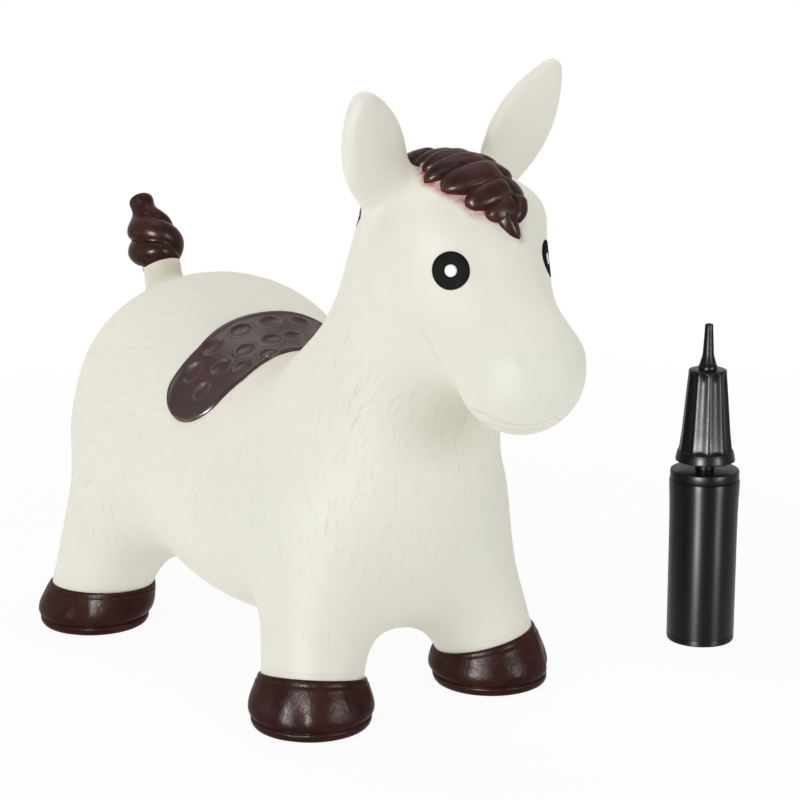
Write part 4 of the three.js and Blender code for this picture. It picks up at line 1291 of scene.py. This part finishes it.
@dataclass
class Saddle:
    """A thin saddle over the back, with a raised rim and oval dimples."""

    x: float = -0.0335
    width: float = 0.053
    flap_height: float = 0.2025
    middle_height: float = 0.150
    thickness: float = 0.0024
    waist: float = 0.10
    waist_reach: float = 0.03
    edge: float = 0.0022
    rim_width: float = 0.0026
    rim_height: float = 0.0007
    wrinkle_height: float = 0.0006
    wrinkle_ahead: Pair = (0.019, 0.006)
    wrinkle_reach: float = 0.035
    wrinkle_inside: Pair = (0.002, 0.003)
    wrinkle_waves: Pair = (620.0, 300.0)
    lean_ahead: float = 0.006
    lean_back: float = 0.004
    lean_reach: float = 0.06
    dimple_length: float = 0.0052
    dimple_width: float = 0.0088
    dimple_depth: float = 0.0017
    dimple_lip: float = 0.0003
    lip_place: Pair = (1.12, 0.16)
    skin_gap: float = 0.0002
    back_thickness: float = 0.0022
    wear: Pair = (0.06, 0.26)
    dimples: Profile = (
        (-0.016, 0.0), (-0.016, 0.026), (0.002, 0.010), (-0.016, 0.052), (0.002, 0.036), (0.016, 0.024),
        (0.003, 0.062), (-0.013, 0.078), (0.016, 0.050), (0.006, 0.088),
    )

    def span(self, x: Array, angle: Array) -> Array:
        """Points on the skin around the back.

        Args:
            x: how far forward each point lies.
            angle: 0 on top of the back, growing to the left.

        Returns:
            One row of x, y and z for each point.
        """
        start = np.stack([x, np.zeros_like(x), np.full_like(x, self.middle_height)], 1)
        direction = np.stack([np.zeros_like(x), np.sin(angle), np.cos(angle)], 1)
        return FORM.through(start, direction, FORM.trunk)

    def build(self) -> Piece:
        """Models the saddle.

        Returns:
            The saddle about the animal's own origin.
        """
        deselect()
        bpy.ops.mesh.primitive_grid_add(x_subdivisions=60, y_subdivisions=240, size=2)
        piece = bpy.context.object
        piece.name = "saddle_pad"
        flat = points_of(piece)
        u, v = flat[:, 0], flat[:, 1]
        line = np.linspace(0, 1.35, 271)
        across = self.span(np.full_like(line, self.x), line)
        length = np.concatenate([[0], np.cumsum(np.linalg.norm(np.diff(across, axis=0), axis=1))])
        reach = float(np.interp(self.flap_height, across[::-1, 2], length[::-1]))
        disc_u, disc_v = u * np.sqrt(1 - v**2 / 2), v * np.sqrt(1 - u**2 / 2)
        round_end = self.width / 2
        straight = reach - round_end
        far = np.abs(disc_v) * (straight + round_end)
        end_share = ramp(far, straight, round_end)
        side = np.clip(disc_u / np.maximum(np.sqrt(np.maximum(1 - disc_v**2, 0)), 1e-4), -1, 1)
        half = round_end * np.sqrt(np.maximum(1 - end_share**2, 0))
        half = half * (1 - self.waist * bell(far, self.waist_reach))
        lean = self.lean_ahead * ramp(far, 0, self.lean_reach) ** 2 - self.lean_back
        x = self.x + lean + side * half
        angle = np.interp(far, length, line) * np.sign(disc_v)
        seat = self.span(x, angle)
        normal = unit(FORM.slope(seat))
        rim_gap = np.minimum((1 - np.abs(side)) * half, np.maximum(straight + round_end - far, 0))
        rise = self.thickness * ramp(rim_gap, 0, self.edge) ** 0.5
        rise = rise - self.rim_height * ramp(rim_gap, self.rim_width, self.edge)
        for along, away in self.dimples:
            rise -= self.dimple(x - self.x, far, along, away)
        place, width = self.wrinkle_ahead
        wrinkle = bell(x - self.x - place, width) * bell(far, self.wrinkle_reach)
        wrinkle *= np.sin(far * self.wrinkle_waves[0] + x * self.wrinkle_waves[1])
        rise += self.wrinkle_height * wrinkle * ramp(rim_gap, *self.wrinkle_inside)
        move_points(piece, seat + normal * (rise + self.skin_gap)[:, None])
        modify(piece, "SOLIDIFY", thickness=self.back_thickness, offset=-1.0)
        tidy_mesh(piece, fill=False)
        return piece

    def dimple(self, x: Array, far: Array, along: float, away: float) -> Array:
        """The depth of one oval dimple with a slightly raised edge.

        Args:
            x: how far each point lies ahead of the saddle's middle.
            far: how far each point lies from the top of the back.
            along: the dimple's place ahead of the middle.
            away: the dimple's place down from the top.

        Returns:
            The depth at each point.
        """
        size = np.hypot((x - along) / self.dimple_length, (far - away) / self.dimple_width)
        lip = self.dimple_lip * bell(size - self.lip_place[0], self.lip_place[1])
        return self.dimple_depth * np.clip(1 - size**2, 0, 1) ** 0.6 - lip

    def dress(self, finishes: Finishes) -> None:
        """Builds the saddle and puts it in place of its solid."""
        piece = self.build()
        store_wear(piece, *self.wear)
        hand_over(piece, finishes.saddle, Body.HOPPER, ["saddle"])


@dataclass(frozen=True)
class Lock:
    """One fat lock of moulded hair along a path on the skin."""

    path: tuple[Triple, ...]
    width: float
    thickness: float
    rounding: float = 0.62
    start_rounding: float = 0.3
    least: float = 0.02
    thinning: float = 0.8
    crown: float = 0.85
    strands: int = 6
    strand_depth: float = 0.045
    strand_twist: float = 0.12

    def build(self, name: str, rings: int = 26, sides: int = 22) -> Piece:
        """Models the lock.

        Args:
            name: the object's name.
            rings: rings along the lock.
            sides: corners around it.

        Returns:
            The lock, sunk a little into the skin.
        """
        anchors = FORM.settle(np.array(self.path), 8)
        share = np.linspace(0, 1, rings)
        centre = self.curve(anchors, share)
        normal = unit(FORM.slope(centre))
        along = unit(np.gradient(centre, axis=0))
        beside = unit(np.cross(normal, along))
        rise, fall = ramp(share, 0, self.start_rounding), ramp(share, 1, -self.rounding)
        body = np.sqrt(1 - (1 - rise) ** 2) * np.sqrt(1 - (1 - fall) ** 2)
        wide = self.width / 2 * np.maximum(body, self.least)
        thick = self.thickness * np.maximum(body, self.least) ** self.thinning
        piece = stack(name, rings, sides)

        def form(ring: Array, angle: Array) -> Array:
            """The lock's place of each corner."""
            round_about = np.sign(np.sin(angle)) * np.abs(np.sin(angle)) ** self.crown
            strand = 1 + self.strand_depth * np.cos(angle * self.strands + ring * self.strand_twist)
            sideways = beside[ring] * (wide[ring] * np.cos(angle) * strand)[:, None]
            outward = normal[ring] * (thick[ring] * round_about * strand)[:, None]
            return centre[ring] + sideways + outward

        lay(piece, form)
        return piece

    @staticmethod
    def curve(anchors: Array, share: Array) -> Array:
        """A smooth path through anchor points, kept on the skin.

        Args:
            anchors: rows of points on the skin.
            share: places along the path, from 0 to 1.

        Returns:
            One point for each place.
        """
        place = share * (len(anchors) - 1)
        index = np.minimum(place.astype(int), len(anchors) - 2)
        inner = (place - index)[:, None]
        padded = np.vstack([2 * anchors[0] - anchors[1], anchors, 2 * anchors[-1] - anchors[-2]])
        a, b, c, d = (padded[index + k] for k in range(4))
        bend = 2 * a - 5 * b + 4 * c - d + inner * (3 * (b - c) + d - a)
        return FORM.settle(b + 0.5 * inner * (c - a + inner * bend), 3)


@dataclass
class Hair:
    """The forelock's locks over the crown and the mane's locks down the neck."""

    forelock: tuple[Lock, ...] = (
        Lock(((0.188, -0.004, 0.424), (0.196, 0.014, 0.421), (0.196, 0.024, 0.415)), 0.022, 0.0070),
        Lock(((0.204, -0.004, 0.425), (0.212, 0.013, 0.421), (0.214, 0.024, 0.414)), 0.024, 0.0080),
        Lock(((0.222, -0.004, 0.423), (0.231, 0.011, 0.417), (0.233, 0.021, 0.408)), 0.024, 0.0080),
        Lock(((0.240, -0.002, 0.417), (0.247, 0.010, 0.408), (0.250, 0.018, 0.397)), 0.020, 0.0080),
        Lock(((0.182, 0.008, 0.422), (0.178, -0.008, 0.421), (0.173, -0.020, 0.417)), 0.018, 0.0070),
        Lock(((0.196, 0.010, 0.424), (0.191, -0.010, 0.424), (0.186, -0.025, 0.419)), 0.017, 0.0085),
        Lock(((0.208, 0.012, 0.424), (0.203, -0.010, 0.425), (0.199, -0.027, 0.419)), 0.019, 0.0095),
        Lock(((0.222, 0.012, 0.423), (0.218, -0.010, 0.423), (0.213, -0.035, 0.413)), 0.023, 0.0105),
        Lock(((0.237, 0.012, 0.418), (0.236, -0.010, 0.417), (0.231, -0.034, 0.409)), 0.030, 0.0110),
        Lock(((0.249, 0.010, 0.410), (0.250, -0.007, 0.408), (0.247, -0.026, 0.400)), 0.023, 0.0105),
        Lock(((0.256, 0.008, 0.403), (0.259, -0.002, 0.399), (0.256, -0.015, 0.393)), 0.020, 0.0095),
        Lock(((0.252, 0.014, 0.406), (0.259, 0.010, 0.397), (0.264, 0.003, 0.389)), 0.016, 0.0095),
        Lock(((0.257, -0.003, 0.401), (0.264, 0.000, 0.390), (0.268, 0.006, 0.376)), 0.016, 0.0085, 0.95),
    )
    mane_low: float = 0.064
    mane_high: float = 0.196
    mane_rows: int = 9
    mane_height: float = 0.0105
    mane_width: float = 0.025
    mane_drop: float = 0.026
    mane_narrowing: float = 0.25
    mane_lag: float = 0.006
    mane_steps: Profile = ((0.005, 0.24), (0.020, 0.57))
    mane_start: float = 0.10
    wear: Pair = (0.10, 0.34)
    thin_height: float = 0.0035

    def mane(self) -> list[Lock]:
        """The mane's locks, one to each side in every row."""
        start, end = np.array(FORM.neck.start), np.array(FORM.neck.end)
        axis = unit(end - start)
        rear = np.array([-axis[2], 0, axis[0]])

        def seat(along: float, turn: float) -> Triple:
            """A point on the back of the neck."""
            direction = rear * math.cos(turn) + np.array([0, math.sin(turn), 0])
            return tuple(FORM.through((start + axis * along)[None], direction[None], FORM.trunk)[0])

        locks = []
        for row in range(self.mane_rows):
            share = row / (self.mane_rows - 1)
            along = self.mane_high - (self.mane_high - self.mane_low - self.mane_drop) * share
            spread = 1 - self.mane_narrowing * share
            for side in Side:
                turn, top = side.value, along - (self.mane_lag if side is Side.LEFT else 0.0)
                path = [seat(top, -self.mane_start * turn)]
                path += [seat(top - down, out * turn * spread) for down, out in self.mane_steps]
                locks.append(Lock(tuple(path), self.mane_width, self.mane_height))
        return locks

    def dress(self, finishes: Finishes) -> None:
        """Builds forelock and mane and puts them in place of their solids."""
        for name, locks, node in (
            ("forelock_locks", self.forelock, "forelock"),
            ("mane_locks", self.mane(), "mane"),
        ):
            piece = joined([lock.build(f"{name}_{index}") for index, lock in enumerate(locks)], name)
            store_wear(piece, *self.wear)
            store(piece, "thin", np.clip(1 - FORM.trunk(points_of(piece)) / self.thin_height, 0, 1))
            hand_over(piece, finishes.hair, Body.HOPPER, [node])


@dataclass
class TailTuft:
    """The twisted tuft on the tail stump, with a round knob at its end."""

    length: float = 0.0700
    radius: float = 0.0252
    lean: float = 33.0
    turn: float = -470.0
    lobes: int = 2
    depth: float = 0.30
    roundness: float = 0.55
    twist_end: Pair = (0.80, -0.10)
    twist_start: Pair = (0.0, 0.06)
    rings: int = 64
    sides: int = 72
    wear: Pair = (0.10, 0.36)
    swell: Profile = (
        (0.0, 0.62), (0.04, 0.74), (0.12, 0.92), (0.26, 1.0),
        (0.42, 0.97), (0.56, 0.82), (0.66, 0.64), (0.73, 0.50),
        (0.78, 0.41), (0.82, 0.40), (0.87, 0.43), (0.92, 0.425), (0.96, 0.35), (0.985, 0.22), (1.0, 0.004),
    )

    def dress(self, finishes: Finishes) -> None:
        """Builds the tuft and puts it in place of its solid."""
        top = np.array(FORM.dock.end)
        lean = math.radians(self.lean)
        axis = np.array([-math.sin(lean), 0, math.cos(lean)])
        across = np.array([0.0, 1.0, 0.0])
        forward = np.cross(across, axis)
        share = np.concatenate([[0.0, 0.0], 1 - np.cos(np.linspace(0, np.pi, self.rings - 2)) * 0.5 - 0.5])
        stations, widths = np.array(self.swell).T
        radius = self.radius * np.interp(share, stations, widths)
        radius = np.convolve(np.pad(radius, 2, "edge"), np.ones(5) / 5, "valid")
        radius[:2], radius[-1] = (TINY, self.radius * 0.5), TINY
        piece = stack("tail_tuft_twist", self.rings, self.sides)

        def form(ring: Array, angle: Array) -> Array:
            """The tuft's place of each corner."""
            part = share[ring]
            wave = np.abs(np.cos((angle - math.radians(self.turn) * part) * self.lobes / 2)) ** self.roundness
            fade = ramp(part, *self.twist_end) * ramp(part, *self.twist_start)
            size = radius[ring] * (1 - self.depth * (1 - wave) * fade)
            centre = top + axis * (self.length * part)[:, None]
            ahead, aside = (size * np.cos(angle))[:, None], (size * np.sin(angle))[:, None]
            return centre + forward * ahead + across * aside

        lay(piece, form)
        store_wear(piece, *self.wear)
        hand_over(piece, finishes.hair, Body.HOPPER, ["tail_tuft"])


@dataclass
class Eye:
    """A printed eye: a black ring on the cheek and the light dot in its middle."""

    side: Side
    x: float = 0.254
    z: float = 0.359
    radius: float = 0.0135
    dot: float = 0.0043
    height: float = 0.0006
    sunk: float = 0.0006
    sides: int = 72

    def film(self, name: str, profile: Profile) -> Piece:
        """A thin round film that follows the cheek.

        Args:
            name: the object's name.
            profile: radius and height above the skin of each ring, in metres.

        Returns:
            The film about the animal's own origin.
        """
        seat = FORM.through(np.array([[self.x, 0, self.z]]), np.array([[0, float(self.side.value), 0]]))[0]
        normal = unit(FORM.slope(seat[None]))[0]
        first = unit(np.cross(UP, normal))
        second = np.cross(normal, first)
        piece = stack(name, len(profile), self.sides)
        radii, heights = np.array(profile).T

        def form(ring: Array, angle: Array) -> Array:
            """The film's place of each corner."""
            reach = radii[ring][:, None]
            flat = seat + first * reach * np.cos(angle)[:, None] + second * reach * np.sin(angle)[:, None]
            down = FORM.settle(flat, 5)
            return down + unit(FORM.slope(down)) * heights[ring][:, None]

        lay(piece, form, fill=False)
        return piece

    def dress(self, finishes: Finishes) -> None:
        """Builds ring and dot and puts them in place of their solids."""
        word, top, low = self.side.word, self.height, -self.sunk
        edge, gap = self.radius, self.dot
        ring = [(edge, low), (edge, top * 0.5), (edge - 0.0004, top), (edge * 0.75, top * 1.2)]
        ring += [(gap + 0.002, top * 1.2), (gap + 0.0004, top), (gap + 0.0001, top * 0.5)]
        ring += [(gap + 0.0001, low), (edge, low)]
        film = self.film(f"{word}_eye_ring", ring)
        hand_over(film, finishes.eye_black, Body.HOPPER, [f"{word}_eye"])
        dot = [(TINY, low), (gap, low), (gap, top * 0.6), (gap - 0.0003, top), (gap * 0.5, top * 1.3)]
        film = self.film(f"{word}_eye_spot", dot + [(TINY, top * 1.4)])
        hand_over(film, finishes.eye_white, Body.HOPPER, [f"{word}_eye_dot"])


@dataclass
class Valve:
    """The belly valve: a thick bushing in the skin and its pushed-in plug with a pull tab."""

    sides: int = 64
    sharp: float = 40.0
    tab: Triple = (0.009, 0.003, 0.0070)
    tab_edge: float = 0.0012
    plug_head: float = 6.0
    bushing: Profile = (
        (4.8, 0.5), (5.3, 0), (13.6, 0), (14.6, 0.3), (15, 0.9),
        (15, 5.4), (14.4, 6), (10, 11.4), (9.2, 12),
        (5.2, 12), (4.8, 11.6), (4.8, 0.5),
    )
    plug: Profile = (
        (0, 0), (6.4, 0), (8.2, 0.2), (8.9, 0.8), (9, 1.6), (8.7, 2.2), (8, 2.4), (4.9, 2.4), (4.5, 2.8),
        (4.5, 8), (4.5, 11), (4.1, 12.6), (3.2, 14.4), (2.2, 15.4), (0, 15.4),
    )

    def dress(self, finishes: Finishes) -> None:
        """Builds bushing and plug and puts them in place of their solids."""
        low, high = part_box("valve_seat")
        spot = ((low.x + high.x) / 2, (low.y + high.y) / 2, 0)
        seat = turned("valve_bushing", self.bushing, self.sides, spot, low.z * PER_METRE)
        hand_over(seat, finishes.valve, Body.HOPPER, ["valve_seat"], False, self.sharp)
        low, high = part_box("valve_plug")
        stem = turned("valve_stopper", self.plug, self.sides, spot, low.z * PER_METRE + self.plug_head)
        deselect()
        bpy.ops.mesh.primitive_cube_add(
            size=1, location=(spot[0], spot[1], low.z + self.tab[2] / 2), scale=self.tab
        )
        tab = bpy.context.object
        activate(tab)
        bpy.ops.object.transform_apply(location=True, rotation=False, scale=True)
        modify(tab, "BEVEL", width=self.tab_edge, segments=4)
        stopper = joined([stem, tab], "valve_stopper")
        hand_over(stopper, finishes.valve, Body.STOPPER, ["valve_plug"], False, self.sharp)


@dataclass
class Pump:
    """The hand pump: a glossy barrel under a collar, and the fluted grip with its nozzle on the rod."""

    sides: int = 96
    flutes: int = 10
    flute_sides: int = 16
    slim_sides: int = 48
    sharp: float = 38.0
    barrel: Profile = (
        (0, 0.6), (20, 0.6), (21, 0.0), (26.2, 0.0),
        (27.2, 0.3), (27.7, 0.9), (27.85, 1.8), (27.9, 5.0),
        (27.6, 5.3), (27.9, 5.7), (28.0, 90.0), (28.15, 108.0),
        (28.5, 122.0), (28.9, 131.0), (29.0, 136.8),
        (28.8, 137.6), (28.2, 138), (26.5, 138), (26, 137.6),
        (26, 60), (26, 3.2), (25.4, 2.5), (0, 2.5),
    )
    collar: Profile = (
        (8.0, 132.6), (8.4, 132.3), (25.3, 132.3), (25.7, 132.7),
        (25.7, 138.3), (27.9, 138.3), (28.3, 138.6),
        (28.4, 139.1), (28.4, 144.6), (28.1, 145.6), (27.2, 146.2), (26.4, 146.3), (18.0, 146.3),
        (8.5, 146.3), (8.0, 145.9), (8.0, 132.6),
    )
    rod: Profile = (
        (3, 22.3), (3.3, 22), (7.3, 22), (7.7, 22.4), (7.7, 100), (7.7, 193.3), (7.3, 193.7),
        (3.3, 193.7), (3, 193.4), (3, 22.3),
    )
    nozzle: Profile = (
        (1.6, 230.0), (7.3, 230.0), (7.7, 230.3), (7.8, 231.0),
        (7.5, 233.2), (6.9, 234.0), (6.3, 236.5),
        (5.2, 240.0), (4.7, 242.4), (4.55, 243.6), (4.1, 252.0),
        (3.6, 261.0), (3.35, 266.4), (3.1, 267.2),
        (2.6, 267.5), (1.9, 267.5), (1.6, 267.2), (1.6, 230.0),
    )

    def spot(self) -> Triple:
        """The middle of the pump's foot."""
        low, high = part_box("pump_barrel")
        return ((low.x + high.x) / 2, (low.y + high.y) / 2, 0.0)

    def lathe(self, name: str, profile: Profile, sides: int) -> Piece:
        """One of the pump's turned pieces, on the pump's axis."""
        return turned(name, profile, sides, self.spot())

    def grip(self) -> Piece:
        """The hollow fluted grip over its plain skirt."""
        outside = [
            (24.1, 153.7, 0), (24.45, 153.9, 0), (24.5, 154.3, 0),
            (24.4, 155.2, 0), (23.7, 158.6, 0), (23.1, 161.2, 0),
            (22.8, 161.9, 0), (22.5, 162.4, 0.2), (22.2, 163.2, 1.0),
            (21.8, 165.6, 1.4), (20.2, 178.0, 1.3),
            (19.0, 192.0, 1.3), (17.8, 206.0, 1.3), (16.5, 220.0, 1.3),
            (15.9, 226.4, 1.25), (15.8, 227.6, 0.5),
            (15.7, 228.6, 0), (15.3, 229.4, 0), (14.7, 229.7, 0),
            (8.2, 229.7, 0), (3.4, 229.7, 0), (3, 229.4, 0),
        ]
        inside = [
            (3, 194.0, 0), (7.9, 194.0, 0), (8.0, 193.9, 0),
            (8.0, 154.0, 0), (8.3, 153.7, 0), (10.1, 153.7, 0),
            (10.4, 154.0, 0), (10.4, 195.4, 0), (14.6, 195.4, 0),
            (17.6, 162.0, 0), (21.9, 159.0, 0), (22.1, 158.6, 0),
            (22.1, 154.0, 0), (22.4, 153.7, 0), (24.1, 153.7, 0),
        ]
        rings = np.array(outside + inside)
        piece = stack("pump_handle", len(rings), self.flutes * self.flute_sides)
        spot = np.array(self.spot())

        def form(ring: Array, angle: Array) -> Array:
            """The grip's place of each corner."""
            radius, height, depth = rings[ring].T
            flute = depth * (0.5 - 0.5 * np.cos(angle * self.flutes)) ** 0.7
            reach = (radius - flute) / PER_METRE
            return spot + np.stack([reach * np.cos(angle), reach * np.sin(angle), height / PER_METRE], 1)

        lay(piece, form, fill=False)
        return piece

    def dress(self, finishes: Finishes) -> None:
        """Builds the pump's pieces and puts them in place of their solids."""
        for piece, finish, body, slot, node in (
            (
                self.lathe("pump_cylinder", self.barrel, self.sides),
                finishes.gloss, Body.PUMP_STAND, "pump_gloss", "pump_barrel",
            ),
            (
                self.lathe("pump_cap", self.collar, self.sides),
                finishes.satin, Body.PUMP_STAND, "pump_satin", "pump_collar",
            ),
            (
                self.lathe("pump_shaft", self.rod, self.slim_sides),
                finishes.satin, Body.PUMP_PLUNGER, "pump_satin", "pump_rod",
            ),
            (self.grip(), finishes.satin, Body.PUMP_PLUNGER, "pump_satin", "pump_grip"),
            (
                self.lathe("pump_tip", self.nozzle, self.slim_sides),
                finishes.satin, Body.PUMP_PLUNGER, "pump_satin", "pump_nozzle",
            ),
        ):
            hand_over(piece, finish, body, [node], False, self.sharp)
        for node, finish in (
            ("pump_piston", finishes.satin),
            ("piston_seal", finishes.rubber),
            ("check_flap", finishes.rubber),
        ):
            frame["nodes"][node].data.materials.clear()
            frame["nodes"][node].data.materials.append(finish)
            LOG.info("%s keeps its solid", node)


def turned_to(spot: Vector, aim: Vector) -> Euler:
    """The rotation with which a lamp or camera at a spot looks at a point."""
    return (aim - spot).to_track_quat("-Z", "Y").to_euler()


@dataclass(frozen=True)
class Lamp:
    """A soft lamp, or one that only shows as a highlight."""

    name: str
    spot: Triple
    size: Pair
    power: float
    gloss: bool = False

    def hang(self, aim: Sequence[float]) -> None:
        """Adds the lamp.

        Args:
            aim: the point that it looks at.
        """
        deselect()
        bpy.ops.object.light_add(type="AREA", location=self.spot)
        lamp = bpy.context.object
        lamp.name = self.name
        lamp.data.shape = "RECTANGLE"
        lamp.data.size, lamp.data.size_y = self.size
        lamp.data.energy = self.power
        lamp.visible_diffuse = not self.gloss
        lamp.rotation_euler = turned_to(Vector(self.spot), Vector(aim))


@dataclass
class Studio:
    """Pale floor, soft lights and the camera at the photograph's angle."""

    eye: Triple = (1.5533, -1.0087, 0.6468)
    aim: Triple = (0.0512, 0.0581, 0.2145)
    lens: float = 106.65
    world: float = 0.44
    floor_white: float = 0.93
    floor_glow: float = 0.70
    floor_grey: float = 0.86
    floor_near: float = 0.55
    floor_far: float = 1.3
    floor_size: float = 30.0
    floor_drop: float = 0.0002
    lamp_aim: Triple = (0, -0.05, 0.2)
    lamps: tuple[Lamp, ...] = (
        Lamp("key_light", (0.7, -2.4, 2.0), (1.2, 1.2), 21.5),
        Lamp("fill_light", (2.6, 0.6, 1.0), (1.0, 1.0), 12),
        Lamp("top_light", (-0.3, 0.3, 2.6), (1.4, 1.4), 17),
        Lamp("left_strip", (1.04, -1.46, 0.30), (0.42, 0.6), 240, True),
        Lamp("right_strip", (2.0, 0.45, 0.30), (0.45, 0.6), 90, True),
        Lamp("side_light", (-0.9, -2.0, 0.24), (1.0, 0.4), 7),
    )

    def floor(self) -> None:
        """A wide pale floor that keeps soft shadows."""
        deselect()
        bpy.ops.mesh.primitive_plane_add(size=self.floor_size, location=(0, 0, -self.floor_drop))
        floor = bpy.context.object
        floor.name = "studio_floor"
        nodes = Nodes("studio_floor")
        tree = nodes.tree
        nodes.finish(Base_Color=(self.floor_grey,) * 3, Roughness=0.9, Specular_IOR_Level=0.1)
        glow = nodes.node("ShaderNodeEmission")
        glow.inputs["Color"].default_value = (1, 1, 1, 1)
        glow.inputs["Strength"].default_value = 1.0
        mixer = nodes.node("ShaderNodeMixShader")
        reach = nodes.vector("LENGTH", nodes.place).outputs["Value"]
        white = nodes.span(reach, self.floor_near, self.floor_far, self.floor_white, 1.0)
        seen = nodes.span(self.shown(tree), 0, 1, self.floor_glow, white)
        tree.links.new(seen, mixer.inputs[0])
        tree.links.new(nodes.shader.outputs[0], mixer.inputs[1])
        tree.links.new(glow.outputs[0], mixer.inputs[2])
        output = next(n for n in tree.nodes if n.type == "OUTPUT_MATERIAL")
        tree.links.new(mixer.outputs[0], output.inputs[0])
        floor.data.materials.append(nodes.material)

    @staticmethod
    def shown(tree: bpy.types.NodeTree) -> Socket:
        """One for rays that show the background, seen straight, mirrored or through glass."""
        path = tree.nodes.new("ShaderNodeLightPath")
        total = path.outputs["Is Camera Ray"]
        for name in ("Is Glossy Ray", "Is Transmission Ray"):
            larger = tree.nodes.new("ShaderNodeMath")
            larger.operation = "MAXIMUM"
            tree.links.new(total, larger.inputs[0])
            tree.links.new(path.outputs[name], larger.inputs[1])
            total = larger.outputs[0]
        return total

    def build(self) -> None:
        """Sets floor, lamps, world and camera."""
        self.floor()
        for lamp in self.lamps:
            lamp.hang(self.lamp_aim)
        scene = bpy.context.scene
        world = bpy.data.worlds.new("studio")
        scene.world = world
        world.use_nodes = True
        tree = world.node_tree
        ground = next(n for n in tree.nodes if n.type == "BACKGROUND")
        ground.inputs[0].default_value = (1, 1, 1, 1)
        level = tree.nodes.new("ShaderNodeMapRange")
        tree.links.new(self.shown(tree), level.inputs[0])
        level.inputs[3].default_value = self.world
        level.inputs[4].default_value = 1.0
        tree.links.new(level.outputs[0], ground.inputs[1])
        scene.view_settings.view_transform = "Standard"
        deselect()
        spot = Vector(self.eye) + Vector(ORIGIN)
        bpy.ops.object.camera_add(location=spot)
        camera = bpy.context.object
        camera.rotation_euler = turned_to(spot, Vector(self.aim) + Vector(ORIGIN))
        camera.data.lens = self.lens
        camera.data.sensor_width = 36
        camera.data.clip_end = 60
        scene.camera = camera


def main() -> None:
    """Builds the set piece by piece."""
    logging.basicConfig(level=logging.INFO, format="%(name)s: %(message)s")
    finishes = Finishes()
    Skin().dress(finishes)
    for limb in LIMBS:
        Hoof(limb).dress(finishes)
    Saddle().dress(finishes)
    Hair().dress(finishes)
    TailTuft().dress(finishes)
    for side in Side:
        Eye(side).dress(finishes)
    Valve().dress(finishes)
    Pump().dress(finishes)
    Studio().build()


if __name__ == "__main__":
    main()
